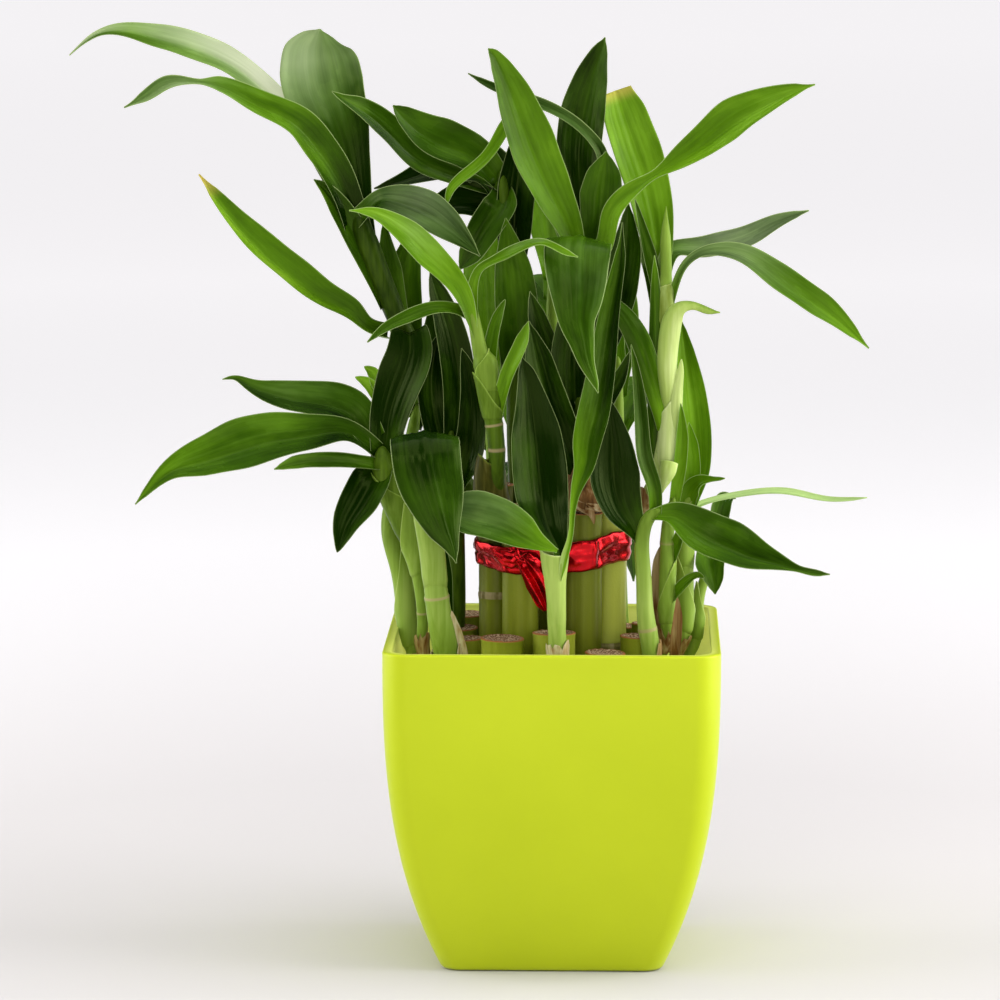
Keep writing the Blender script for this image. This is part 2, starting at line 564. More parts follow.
def bent_line(points, share):
    """The line that a thin strip takes through the points: a cubic between each two, with the same slope
    and bend where they meet and no bend at the ends. Gives the places and the directions at the shares of
    the run."""
    points, share = np.asarray(points, float), np.asarray(share, float)
    gap = np.linalg.norm(np.diff(points, axis=0), axis=1) ** 0.75
    count = len(points)
    inside = np.arange(1, count - 1)
    system = np.eye(count)
    system[inside, inside - 1] = gap[:-1]
    system[inside, inside] = 2 * (gap[:-1] + gap[1:])
    system[inside, inside + 1] = gap[1:]
    slope = np.diff(points, axis=0) / gap[:, None]
    turn = np.zeros((count, 3))
    turn[1:-1] = 6 * np.diff(slope, axis=0)
    bend = np.linalg.solve(system, turn)
    run = share.ravel() * (count - 1)
    i = np.clip(run.astype(int), 0, count - 2)
    b = (run - i)[:, None]
    a = 1 - b
    step = gap[i][:, None]
    place = a * points[i] + b * points[i + 1]
    place += step**2 / 6 * ((a**3 - a) * bend[i] + (b**3 - b) * bend[i + 1])
    along = slope[i] + step / 6 * ((1 - 3 * a**2) * bend[i] + (3 * b**2 - 1) * bend[i + 1])
    along /= np.linalg.norm(along, axis=1)[:, None]
    return place.reshape(*share.shape, 3), along.reshape(*share.shape, 3)


TAIL = np.array([
    [-11, 133, -24, 2.4], [-8.3, 129, -24.5, 3.4], [-6, 124, -25, 3.8], [-3.6, 117.5, -25, 2.6],
    [-3, 115, -25, 0.5],
])
TAIL_THICKNESS = 0.18
TAIL_FOLD = 1.3
share = np.linspace(0, 1, 70)
across = np.linspace(-1, 1, 33)
line, along = bent_line(through_picture(TAIL), share)
side = np.cross(along, EYE - line)
side /= np.linalg.norm(side, axis=1)[:, None]
face = np.cross(side, along)[:, None]
half = np.interp(share, np.linspace(0, 1, len(TAIL)), TAIL[:, 3])[:, None]
lift = TAIL_FOLD * np.abs(((across * 0.9 + 0.7 * share[:, None] + 0.2) % 1) - 0.5) * half
lift = lift + 0.22 * creased(share[:, None] * 22, across * 3, 0.7)
tail_top = line[:, None] + side[:, None] * (half * across * 0.92)[..., None] + face * lift[..., None]
tail_back = tail_top - TAIL_THICKNESS * face
ribbon_skins.append(closed_skin(np.concatenate([tail_top, tail_back[:, ::-1]], axis=1)))

red_foil, tree, shader = plain_material("red_foil")
place = own_place(tree)
film = stretched_noise(place, (160, 160, 160))
crinkle = add_node(tree, "TexVoronoi", {"Vector": place, "Scale": 130}, feature="DISTANCE_TO_EDGE")
feed(shader, {
    "Base Color": ramp(film, [(0.3, (0.36, 0.001, 0.005)), (0.7, (0.60, 0.006, 0.010))]),
    "Roughness": spread(film, 0.2, 0.8, 0.16, 0.30),
    "Metallic": 0.95,
    "Coat Weight": 0.12,
    "Coat Roughness": 0.06,
})
bump(shader, crinkle.outputs["Distance"], 0.3, 0.0007)
make_piece("foil_ribbon", ribbon_skins, [red_foil], "red_ribbon")


# A leafy shoot is one growth: a green stem that starts on the side of a cane, wrapped in overlapping leaf
# sheaths, and narrow blades with a groove along the middle, long parallel veins and a thin pale margin.
LEAF_TO_SKY = np.radians(35)
NARROW_LEAF = 3.3
MARGIN_LIFT = np.array([0.3, 0.45, 0, 0])
BLADE_STEP = 1.5
CLASP_ARC, CLASP_REACH = 1.15, 7
YOUNG_REACH = 9
DRY_FROM, DRY_FADE = 0.90, 0.08
RIB_HEIGHT, RIB_WAVES = 0.011, 9.4
GROOVE_DEPTH, GROOVE_WIDTH = 0.05, 0.09
MARGIN_WAVE = 0.055
BLADE_EDGE, BLADE_BODY, MIDRIB = 0.22, 0.25, 0.30
STEM_STEP = 0.9
STEM_COLUMNS = 28
STEM_DOME = 7
STEM_RIDGE, STEM_GROOVE = 0.07, 0.05
SLEEVE_GAP = 0.12
FRONT = np.array([0, -1.0, 0])
growth = np.random.default_rng(5)


def softened(values, reach):
    """Each row replaced by a bell-weighted mean of the rows near it."""
    row = np.arange(len(values))
    weight = bell(row[:, None] - row, reach)
    return (weight / weight.sum(axis=1, keepdims=True)) @ values


def unit(vectors):
    """The vectors, each divided by its length."""
    return vectors / np.linalg.norm(vectors, axis=-1)[..., None]


def square_to(vectors, along):
    """The part of each vector that is square to a direction, as a unit vector."""
    return unit(vectors - along * (vectors * along).sum(axis=-1, keepdims=True))


def along_run(values, share):
    """One value, or several set evenly along a run, read at shares of the run."""
    return np.interp(share, np.linspace(0, 1, np.size(values)), np.ravel(values))


def blade_skin(
    stations, tone, fold=0.5, keel=0.2, lean=0.0, sheen=0.0, dry_tip=0.0, husk=None, in_picture=True
):
    """A blade along a bent line through stations (across, up, deep, half width). Across it the section is
    an arc, deep where it clasps the stem and shallow further out, hollow towards the viewer, or arched
    towards the viewer where the fold is negative. It has a keel as a shallow V, fine lengthwise ribs and a
    groove in the middle, and its margins wave a little. The section is closed by an underside a few tenths
    of a millimetre lower. Tone and sheen are each one value or several along the blade, from its root to
    its tip, and lean makes its two halves darker and paler. A husk gives the finish of the stem instead,
    green at nought and dry at one."""
    stations = np.array(stations, float)
    points = through_picture(stations - MARGIN_LIFT) if in_picture else stations[:, :3]
    reach = np.linalg.norm(np.diff(points, axis=0), axis=1).sum()
    rows = int(np.clip(reach / BLADE_STEP, 22, 76))
    columns = 27 if stations[:, 3].max() > NARROW_LEAF else 15
    share = np.linspace(0, 1, rows)
    middle, along = bent_line(points, share)
    steps = len(stations) - 1 if len(stations) > 5 else 2 * (len(stations) - 1)
    coarse = np.linspace(0, 1, steps + 1)
    spot, heading = bent_line(points, coarse)
    view = unit(EYE - spot if in_picture else np.tile(SKY, (len(spot), 1)))
    side = np.cross(heading, view * np.cos(LEAF_TO_SKY) + SKY * np.sin(LEAF_TO_SKY))
    firm = np.linalg.norm(side, axis=1) >= 0.4
    side = square_to(side[np.maximum.accumulate(np.where(firm, np.arange(len(side)), 0))], heading)
    swap = np.cumprod(np.concatenate([[1], np.where((side[1:] * side[:-1]).sum(axis=1) < 0, -1, 1)]))
    side = side * swap[:, None]
    hidden = (side * view).sum(axis=1)
    width = along_run(stations[:, 3], coarse) / np.maximum(np.sqrt(1 - hidden**2), 0.6)
    soft = 0.30 * rows / steps
    half = softened(along_run(width, share), soft)
    if stations[-1, 3] < 2:
        half = half * np.interp(share, [0, 0.93, 1], [1, 1, 0.35])
    side = softened(np.stack([along_run(side[:, k], share) for k in range(3)], axis=1), soft)
    side = square_to(side, along)
    normal = np.cross(side, along)
    walked = np.concatenate([[0], np.cumsum(np.linalg.norm(np.diff(middle, axis=0), axis=1))])
    across = np.linspace(-1, 1, columns)
    arc = np.copysign(abs(fold) + max(0.0, CLASP_ARC - abs(fold)) * bell(walked, CLASP_REACH), fold)[:, None]
    half = half[:, None]
    lift = half * (1 - np.cos(arc * across)) / np.sin(arc) + keel * half * np.abs(across)
    lift -= lift[:, :1]
    ribs = RIB_HEIGHT * half * np.cos(RIB_WAVES * np.pi * np.abs(across) ** 1.1) * (1 - across**4)
    groove = GROOVE_DEPTH * half * bell(across, GROOVE_WIDTH)
    phase = growth.uniform(0, 2 * np.pi, 2)
    beat = (2 * np.pi * walked / growth.uniform(17, 26))[:, None]
    wave = np.where(across < 0, np.sin(beat + phase[0]), np.sin(beat + phase[1]))
    wave = MARGIN_WAVE * half * np.abs(across) ** 3 * wave * np.sin(np.pi * share)[:, None] ** 0.5
    offset = half * np.sin(arc * across) / np.sin(arc)
    top = middle[:, None] + side[:, None] * offset[..., None]
    top = top + normal[:, None] * (lift + ribs - groove + wave)[..., None]
    thick = BLADE_EDGE + BLADE_BODY * (1 - across**2) + MIDRIB * bell(across, 0.1) * (1 - share[:, None])
    under = top - normal[:, None] * np.minimum(thick, 0.25 * half + 0.12)[..., None]
    both = np.concatenate([across, across[::-1]])
    halves = np.tanh(4 * both)
    tone = along_run(tone, share)[:, None] + lean * halves
    marks = {"tone": tone, "dry": husk, "seed": growth.uniform(0, 20)}
    if husk is None:
        marks["dry"] = dry_tip * np.clip((share - DRY_FROM) / DRY_FADE, 0, 1)[:, None]
        marks["sheen"] = along_run(sheen, share)[:, None] * (1 + 4 * lean * halves)
        marks["margin"] = half * (1 - np.abs(both))
        marks["below"] = np.repeat([0.0, 1.0], columns)
        marks["young"] = bell(walked, YOUNG_REACH)[:, None]
    chart_across = np.concatenate([(across + 1) / 2, (1 - across) / 2, [0]])
    outline = np.concatenate([top, under[:, ::-1]], axis=1)
    return closed_skin(outline, marks, chart_across, walked / 10, finish=int(husk is not None))


def stem_at(route, share, in_picture):
    """The stem's middle, two directions square to its run, of which the first is the one nearest to the
    front, and its radius, at shares of its run."""
    route = np.array(route, float)
    middle, along = bent_line(through_picture(route) if in_picture else route[:, :3], share)
    first = square_to(FRONT, along)
    return middle, first, np.cross(along, first), along_run(route[:, 3], share)


def route_length(route):
    """The length of a route from station to station."""
    return np.linalg.norm(np.diff(np.array(route, float)[:, :3], axis=0), axis=1).sum()


def stem_skin(route, tone, rings, in_picture):
    """A round section carried along the stem's line, a little oval, with a low ridge and a groove at each
    ring and a domed top. Its tone is one value or several from its foot to its top."""
    length = route_length(route)
    share = np.linspace(0, 1, int(np.clip(length / STEM_STEP, 24, 160)))
    middle, first, second, radius = stem_at(route, share, in_picture)
    radius = softened(radius, 3.0) - 0.25
    radius = radius * np.sqrt(1.02 - np.clip(1 - (1 - share) * length / STEM_DOME, 0, 1) ** 2)
    ring = np.zeros(len(share))
    for place in rings:
        from_ring = (share - place) * length
        radius = radius * (1 + STEM_RIDGE * bell(from_ring, 1.1) - STEM_GROOVE * bell(from_ring - 0.9, 0.4))
        ring = np.maximum(ring, bell(from_ring, 0.55))
    around = np.linspace(0, 2 * np.pi, STEM_COLUMNS, endpoint=False)
    reach = radius[:, None] * (1 + 0.03 * np.cos(2 * around))
    points = middle[:, None] + first[:, None] * (reach * np.cos(around))[..., None]
    points = points + second[:, None] * (reach * np.sin(around))[..., None]
    marks = {"tone": along_run(tone, share)[:, None], "ring": ring[:, None], "seed": growth.uniform(0, 20)}
    return closed_skin(points, marks, along=share * length / 10, finish=1)


def sleeve_skin(
    route, start, end, facing=0.0, cut=5.0, tone=0.6, flare=0.3, ragged=0.0, dry=0.0, in_picture=True
):
    """A sleeve round the stem from one share of its run to another. Its top edge is highest on the side
    that it faces and lower by the cut on the other side, as a tube cut on the slant. The skin runs up
    outside, over the edge and down inside, and opens a little towards the top. A ragged edge ends in uneven
    teeth."""
    length = route_length(route)
    around = np.linspace(0, 2 * np.pi, STEM_COLUMNS, endpoint=False)
    up = np.concatenate([np.linspace(0, 0.9, 8), [0.94, 0.97, 0.985, 1.0]])
    teeth = ragged * growth.uniform(0, 1, STEM_COLUMNS) * (0.6 + 0.4 * np.sin(3 * around + 1.3))
    edge = end - cut / length * (1 - np.cos(around - facing)) / 2 - teeth / length
    share = np.clip(start + (edge - start) * np.concatenate([up, up[::-1]])[:, None], 0, 1)
    middle, first, second, radius = stem_at(route, share, in_picture)
    skin = np.concatenate([SLEEVE_GAP + flare * up**3, flare * up[::-1] ** 3 - 0.14])
    skin[0], skin[-1] = -0.3, -0.5
    reach = radius + skin[:, None]
    points = middle + first * (reach * np.cos(around))[..., None]
    points = points + second * (reach * np.sin(around))[..., None]
    rim = bell((edge - share) * length, 0.45)
    marks = {"tone": tone, "rim": rim, "dry": dry, "seed": growth.uniform(0, 20)}
    return closed_skin(points, marks, along=np.linspace(0, 1, 2 * len(up) + 1), finish=1, ends="joined")


leaf_blade, tree, shader = plain_material("leaf_blade")
chart = add_node(tree, "UVMap", {}, uv_map="chart").outputs["UV"]
own_start = add_node(tree, "CombineXYZ", {"Z": mark(tree, "seed")}).outputs["Vector"]
moved = add_node(tree, "VectorMath", {0: chart, 1: own_start}, operation="ADD").outputs["Vector"]
streak = stretched_noise(moved, (14, 0.28, 1), 3)
vein = stretched_noise(moved, (80, 0.25, 1))
cloud = stretched_noise(moved, (2.0, 0.40, 1), 3, 0.55)
tone = mark(tree, "tone")
for part, weight in (
    (streak, 0.16), (cloud, 0.64), (vein, 0.12), (mark(tree, "young"), 0.16), (mark(tree, "below"), 0.08),
):
    tone = sum_of(tone, part, weight)
green = ramp(spread(tone, 0.53, 1.53, step="LINEAR"), [
    (0.0, (0.004, 0.016, 0.0003)), (0.25, (0.030, 0.080, 0.002)), (0.5, (0.082, 0.190, 0.004)),
    (0.75, (0.165, 0.340, 0.012)), (1.0, (0.350, 0.560, 0.052)),
])
bloom = sum_of(mark(tree, "sheen"), sum_of(cloud, streak, 0.6), 0.22)
green = mixed(spread(bloom, 0.26, 1.26), green, (0.60, 0.63, 0.46))
green = mixed(spread(mark(tree, "margin"), 0.09, 0.28, 0.55, 0.0), green, (0.40, 0.50, 0.20))
feed(shader, {
    "Base Color": mixed(mark(tree, "dry"), green, (0.52, 0.42, 0.08)),
    "Roughness": spread(cloud, 0.35, 0.65, 0.19, 0.31),
    "Specular IOR Level": 0.18,
    "Specular Tint": (0.75, 1.0, 0.25, 1),
})
bump(shader, sum_of(vein, streak, 0.8), 0.10, 0.0003)

stem_green, tree, shader = plain_material("stem_and_sheath")
place = own_place(tree)
fibre = stretched_noise(place, (700, 700, 18))
blotch = stretched_noise(place, (90, 90, 40))
tone = mark(tree, "tone")
for part in (fibre, blotch, mark(tree, "rim")):
    tone = sum_of(tone, part, 0.30)
green = ramp(spread(tone, 0.30, 1.30, step="LINEAR"), [
    (0.0, (0.016, 0.038, 0.001)), (0.25, (0.080, 0.145, 0.008)), (0.5, (0.205, 0.320, 0.040)),
    (0.75, (0.380, 0.500, 0.115)), (1.0, (0.640, 0.740, 0.300)),
])
green = mixed(spread(mark(tree, "ring"), 0.35, 0.8, 0, 0.7), green, (0.40, 0.30, 0.16))
straw = sum_of(sum_of(fibre, mark(tree, "tone"), 0.9), blotch, 0.3)
straw = ramp(spread(straw, 0.35, 1.35, step="LINEAR"), [
    (0.1, (0.045, 0.020, 0.006)), (0.4, (0.22, 0.100, 0.032)), (0.65, (0.46, 0.33, 0.16)),
    (0.9, (0.70, 0.63, 0.42)),
])
feed(shader, {
    "Base Color": mixed(mark(tree, "dry"), green, straw),
    "Roughness": 0.38,
    "Specular IOR Level": 0.12,
    "Specular Tint": (0.9, 1.0, 0.5, 1),
})
bump(shader, fibre, 0.12, 0.0003)


def grow_shoot(node, stem_tone, stem, leaves, rings=(), sleeves=(), in_picture=True):
    """Makes one shoot in one piece that stands for the shoot's solid: its stem with its rings, its leaves,
    each as what blade_skin takes, and the sleeves round it, each as what sleeve_skin takes. A sleeve
    follows the stem unless it has a route of its own."""
    skins = [stem_skin(stem, stem_tone, rings, in_picture)]
    skins += [blade_skin(**leaf, in_picture=in_picture) for leaf in leaves]
    skins += [sleeve_skin(**{"route": stem, **sleeve}, in_picture=in_picture) for sleeve in sleeves]
    make_piece(node.replace("shoot_", "") + "_shoot", skins, [leaf_blade, stem_green], node)


# The front shoot rises from the middle front cane and forks above the rim: a broad leaf to the left, a dark
# one upright and a long folded one behind the folded leaf of the centre shoot.
grow_shoot("shoot_front", stem_tone=(0.6, 0.64, 0.66, 0.66, 0.66), stem=[
    [1, 92, -30, 2.4], [1.3, 99, -34, 3.6], [1, 108, -36.5, 3.2], [0.8, 118, -38, 3.1], [0.4, 125, -38, 3.4],
    [0.3, 131.5, -37.5, 2.4],
], leaves=[
    dict(tone=(0.6, 0.5, 0.36, 0.3), fold=0.4, keel=0.3, lean=0.06,
         sheen=(0, 0.05, 0.2, 0.2, 0.16), stations=[
        [1.6, 135.5, -42.6, 0.5], [-1.8, 137.1, -43, 1.8], [-5.4, 138.8, -42.8, 3.2],
        [-9.7, 141.4, -42.3, 5.4], [-18, 146, -40.5, 7.3], [-26, 148.2, -38, 7.8], [-32.5, 149.5, -36, 6],
        [-38, 150, -33.5, 2.5], [-41, 150, -32.5, 0.4],
    ]),
    dict(tone=(0.1, 0.03, 0), keel=0.35, lean=-0.1, stations=[
        [2.1, 131.5, -40.4, 1], [2, 136.4, -39.2, 2.6], [-0.4, 142.4, -37, 5.7], [-2.3, 148, -34.4, 7.5],
        [-3.6, 154, -31.6, 8.7], [-4.5, 163, -29.4, 9.1], [-5.7, 175.3, -27, 8.2], [-7, 185.3, -25, 5.4],
        [-9, 195.3, -24, 2.7], [-10.5, 200.3, -23.5, 0.4],
    ]),
    dict(tone=(0.82, 0.78, 0.7, 0.56, 0.4, 0.28, 0.22, 0.22), fold=0.95, keel=0.3, lean=-0.14,
         sheen=(0.3, 0.1, 0, 0.12, 0), stations=[
        [2.2, 125.5, -41.4, 0.4], [3.2, 130.5, -42.6, 1.2], [4.1, 134.5, -43, 1.2],
        [5.3, 138.5, -42.8, 0.95], [6.1, 143, -42.3, 0.85], [6.5, 148.5, -41.8, 0.95],
        [7.3, 154, -41.2, 1.5], [8.6, 158.8, -40.8, 2.4], [10.2, 163.5, -40.4, 3.3], [11.2, 171, -40, 4.7],
        [13, 179.5, -40, 5.3], [15.3, 191, -37.5, 4.9], [17.4, 205.7, -35.5, 4], [19.7, 220.5, -33, 3],
        [22.4, 234.5, -31.5, 1.8], [23.1, 245, -31, 0.5],
    ]),
], sleeves=[
    dict(start=0.02, end=1, facing=3.6, cut=3.6, tone=0.68, flare=0.1, route=[
        [1, 103, -35.4, 2.2], [0.9, 110, -36.8, 3], [0.8, 118, -38, 3], [0.45, 125, -38, 3.4],
        [0.25, 131, -38, 4.3], [0.1, 137.2, -38, 4.8],
    ]),
    dict(start=0.12, end=0.36, facing=0.4, cut=2, tone=0.55, flare=0.4, ragged=4, dry=1),
])

# The thick shoot at the front left carries one leaf that folds over and hangs in front of its stem.
grow_shoot("shoot_left_front", stem_tone=(0.55, 0.52, 0.62), stem=[
    [-33, 90, -17, 2.8], [-35.4, 100.3, -21, 5], [-38.2, 113.7, -24, 4.5], [-39.7, 125.3, -25, 4.1],
    [-41, 137, -26, 4.1], [-43, 148.7, -27, 3.9], [-43, 160, -27, 3.5], [-42.5, 167, -27, 2.2],
], leaves=[
    dict(tone=(0.03, 0.04, 0.07, 0.13), fold=0.3, keel=0.03, lean=0.02, sheen=(0, 0, 0.05, 0), stations=[
        [-43, 150, -27, 3.6], [-43, 163, -28, 7.5], [-43, 172.4, -31, 11], [-42.7, 171, -37, 11.4],
        [-41.8, 163, -40.5, 11.2], [-40, 155.3, -42, 10.2], [-38.3, 149, -43.5, 8.4],
        [-36.3, 142.5, -45, 5.6], [-34, 137, -46, 2.6], [-32.3, 131.3, -46.5, 0.4],
    ]),
    dict(tone=0.55, fold=0.8, husk=1, stations=[
        [-29.6, 94, -21.5, 1.6], [-30.6, 102, -24.5, 2.1], [-32.4, 109, -25.5, 1.8],
        [-33.8, 115.4, -26, 0.4],
    ]),
    dict(tone=0.3, fold=0.9, stations=[
        [-35, 100, -18, 2.5], [-36, 114, -20.5, 2.8], [-36.2, 128, -22, 2.6], [-37.5, 142, -23, 0.6],
    ]),
], rings=(0.36,), sleeves=[
    dict(start=0.4, end=0.8, facing=-1.4, cut=14, tone=0.56, flare=0.25),
    dict(start=0.02, end=0.2, facing=2.2, cut=3, tone=0.55, flare=0.5, ragged=4, dry=1),
])

# The fan at the left: two long leaves and a narrow one to the left, a dark one upright whose top bends
# back, and one that hangs in front.
grow_shoot("shoot_left_fan", stem_tone=(0.45, 0.5, 0.34, 0.1), stem=[
    [-36, 88, -1, 1.8], [-43.4, 101, -6, 2.2], [-43.8, 112, -8, 2.1], [-44.4, 121, -9, 2.3],
    [-45.6, 130, -9, 3], [-48, 139, -9.5, 3.9], [-51, 147, -10, 4.4], [-54.6, 155.3, -11, 4.5],
    [-56.8, 163, -12, 4.3], [-57.2, 170, -12, 2.4],
], leaves=[
    dict(tone=(0.15, 0.26, 0.3), fold=0.35, keel=0.3, lean=0.05, sheen=(0.02, 0.12, 0.04), stations=[
        [-60, 173, -12, 4], [-67, 182.5, -9, 7], [-75, 186, -5, 6.4], [-85, 187.3, 0, 5.8],
        [-95, 189, 4, 3.7], [-101.5, 191.3, 7, 2], [-106, 193.3, 9, 0.8], [-110.3, 192.7, 11, 0.4],
    ]),
    dict(tone=(0.1, 0.3, 0.42, 0.4), fold=0.35, keel=0.3, lean=0.06, sheen=(0, 0.1, 0.02), stations=[
        [-58, 169, -13, 2.5], [-69, 176, -16, 3.7], [-81, 175.5, -20, 5.8], [-92, 174.5, -24, 8],
        [-105, 171, -28, 8.3], [-118, 166.5, -31, 6.4], [-127.5, 162.7, -34, 3.2], [-134, 157, -36, 1.6],
        [-139.3, 151, -38, 0.4],
    ]),
    dict(tone=(0.25, 0.4), fold=0.4, sheen=0.1, stations=[
        [-58, 164.7, -15, 2], [-68, 165.7, -20, 2.5], [-78, 166, -25, 2.6], [-86, 165, -29, 2.3],
        [-93, 162.7, -32, 0.4],
    ]),
    dict(tone=0.1, fold=0.35, stations=[
        [-57, 165, -14, 4], [-60.5, 160, -18, 6.5], [-65, 152, -22, 6.4], [-68.3, 146.3, -25, 5],
        [-70.3, 141, -27, 3.2], [-71.5, 136.7, -28, 1.2], [-72, 135, -28.5, 0.4],
    ]),
    dict(tone=(0.1, 0.02, 0), fold=0.4, keel=0.25, lean=0.05, stations=[
        [-56, 166, -12, 4.5], [-55, 179, -11, 6.2], [-50.7, 193.7, -9, 8], [-47.7, 203.7, -7, 7.5],
        [-48, 210.7, -4, 5.6], [-47.5, 209, -0.5, 4.4], [-46.5, 203, 1, 1.6],
    ]),
    dict(tone=0.78, stations=[
        [-55, 181, -7.5, 2], [-59, 188.5, -5.5, 2.5], [-62.5, 192, -4, 1.8], [-66, 193.5, -3, 0.4],
    ]),
    dict(tone=0.72, stations=[
        [-54, 183.5, -7, 2], [-58.5, 192, -3.5, 2.6], [-60.5, 195.5, -1, 1.8], [-63, 197, 0, 0.4],
    ]),
], rings=(0.25,), sleeves=[
    dict(start=0.4, end=0.74, facing=1.3, cut=20, tone=0.5, flare=0.2),
    dict(start=0.56, end=0.88, facing=-1.6, cut=14, tone=0.27, flare=0.2),
    dict(start=0.09, end=0.19, facing=0.5, cut=2, tone=0.22, flare=0.5, ragged=4, dry=1),
])

# A slim shoot behind the fan, against the pot's left side
grow_shoot("shoot_left_slim", stem_tone=(0.52, 0.56, 0.4, 0.3), stem=[
    [-36, 84, 10, 2], [-44.6, 97, 5, 2.8], [-47.6, 105, 3, 3.2], [-49.4, 115.3, 3, 3.6],
    [-51.2, 128.7, 3, 3.7], [-54.5, 141, 4, 3.4], [-53.5, 153, 9, 2.8], [-49, 167, 16, 2.4],
    [-45.5, 184, 21, 2.2],
], leaves=[
    dict(tone=0.4, stations=[
        [-46, 180, 20, 2.2], [-48, 201, 19, 4.6], [-49.5, 218, 18, 6], [-49, 232, 17, 5],
        [-48, 242, 17, 0.4],
    ]),
    dict(tone=0.35, fold=0.6, stations=[
        [-45.5, 184, 20, 2], [-51, 210, 16, 3.6], [-54.5, 229, 12, 4.4], [-56.5, 246, 10, 0.4],
    ]),
    dict(tone=0.2, stations=[
        [-46, 176, 20, 2], [-42, 194, 22, 4], [-39.5, 208, 24, 4.2], [-38.5, 220, 25, 2.6],
        [-39.5, 227, 25, 0.4],
    ]),
    dict(tone=0.25, fold=0.4, stations=[
        [-48, 168, 18, 2.2], [-55, 176, 25, 4], [-58, 180, 33, 4.2], [-59, 178, 42, 2.4],
        [-59, 173, 48, 0.4],
    ]),
], rings=(0.2,), sleeves=[
    dict(start=0.22, end=0.58, facing=1.2, cut=24, tone=0.54, flare=0.25),
    dict(start=0.1, end=0.2, facing=-0.6, cut=2, tone=0.25, flare=0.4, ragged=4, dry=1),
])

# A dark shoot between the left stems and the tall canes
grow_shoot("shoot_left_dark", stem_tone=0.1, stem=[
    [-34, 96, 11, 2.2], [-32.7, 107, 8, 3], [-32.3, 118, 5, 3.2], [-32.6, 140.3, 1, 3.2],
    [-33, 158, -1, 2.6], [-34.5, 176, -2, 2],
], leaves=[
    dict(tone=0.1, stations=[
        [-33.5, 162, -1, 2.4], [-38, 176, -4, 5], [-40.5, 190, -4, 4.8], [-39.5, 202, -2.5, 2.6],
        [-38, 208, -2, 0.4],
    ]),
    dict(tone=0.12, stations=[
        [-34, 166, -2, 3], [-31.5, 182, -6, 5.2], [-32, 198, -8, 5.6], [-35, 212, -9, 4.8],
        [-38.5, 222, -9, 3], [-41, 229, -9, 0.4],
    ]),
    dict(tone=0.06, stations=[
        [-33.5, 156, -1, 3], [-28.5, 168, -6, 5.2], [-27, 182, -9, 4.4], [-28.5, 196, -11, 2.6],
        [-30.5, 203, -12, 0.4],
    ]),
])

# The bright shoot in the middle: a thin leaf to the right, a broad one up to the left and small ones below.
grow_shoot("shoot_bright", stem_tone=(0.05, 0.14, 0.24, 0.42, 0.56), stem=[
    [-18.5, 145, -9, 2.2], [-19, 151, -13, 3], [-19.3, 158, -17, 3.3], [-19, 167, -20, 3],
    [-20, 177.3, -20, 3.2], [-21.3, 185.3, -20.5, 3.7], [-23.3, 197.7, -21, 4.3], [-24.3, 200.5, -21, 2.9],
    [-26, 208.7, -21.5, 2.4], [-27.8, 217, -21.6, 2.2], [-28.4, 221.5, -21, 1.9],
], leaves=[
    dict(tone=(0.54, 0.62, 0.66, 0.74), fold=0.45, keel=0.15, lean=0.07,
         sheen=(0, 0.04, 0.2, 0.08), stations=[
        [-25.6, 206, -23.2, 0.4], [-27.2, 213, -24.6, 1.9], [-29.4, 220, -25, 2.9],
        [-32.4, 225.2, -24.6, 3.4], [-36.5, 230, -24, 4.1], [-41.6, 235, -24, 4.9], [-47.3, 240.7, -25, 4.3],
        [-53, 245, -25, 3.3], [-59.7, 248.3, -24, 1.9], [-68, 249, -22, 0.4],
    ]),
    dict(tone=(0.62, 0.5, 0.7), stations=[
        [-26.5, 213, -23.4, 1.6], [-27, 221, -23.6, 1.9], [-25, 229, -24.4, 1.4], [-21, 232, -26, 1.2],
        [-15, 235, -29, 2], [-10, 237.3, -34, 2.1], [-3, 238.5, -41, 1], [3.5, 235.5, -45, 1.2],
        [8.3, 233.5, -46, 0.4],
    ]),
    dict(tone=0.34, fold=0.4, sheen=0.08, stations=[
        [-28, 214.5, -22, 1.8], [-33, 216.5, -24, 1.8], [-41, 216.5, -27, 2.2], [-49, 213.5, -30, 2.2],
        [-56, 210, -32, 1.6], [-62, 205, -33, 0.4],
    ]),
    dict(tone=0.68, fold=0.7, stations=[
        [-19.5, 178, -20.5, 2], [-16, 192.7, -25, 2.3], [-13.3, 199.3, -27, 2.4], [-10.3, 206, -29, 2.2],
        [-8.3, 212, -30, 0.4],
    ]),
    dict(tone=0.4, stations=[
        [-22, 195, -20.5, 2.8], [-20.5, 206, -19, 2.2], [-18.5, 213.7, -17, 1.8], [-16, 219.3, -15, 0.5],
    ]),
], rings=(0.12, 0.32, 0.4), sleeves=[
    dict(start=0.42, end=0.58, facing=-1.4, cut=11, tone=0.26, flare=0.25),
    dict(start=0.52, end=0.72, facing=1.5, cut=13, tone=0.36, flare=0.2),
    dict(start=0.05, end=1, facing=-0.8, cut=6, tone=0.05, flare=0.2, ragged=3, dry=0.25, route=[
        [-19, 139, -12, 6.6], [-20.5, 149, -13, 6.3], [-21.4, 158.7, -15, 5.3], [-20.6, 168, -18, 4.2],
    ]),
    dict(start=0, end=0.95, facing=0.8, cut=6, tone=0.08, flare=0.5, ragged=4, dry=0.5, route=[
        [-14, 141, -17, 4.4], [-14, 148, -18, 4.2], [-15, 154, -19, 3.4],
    ]),
])

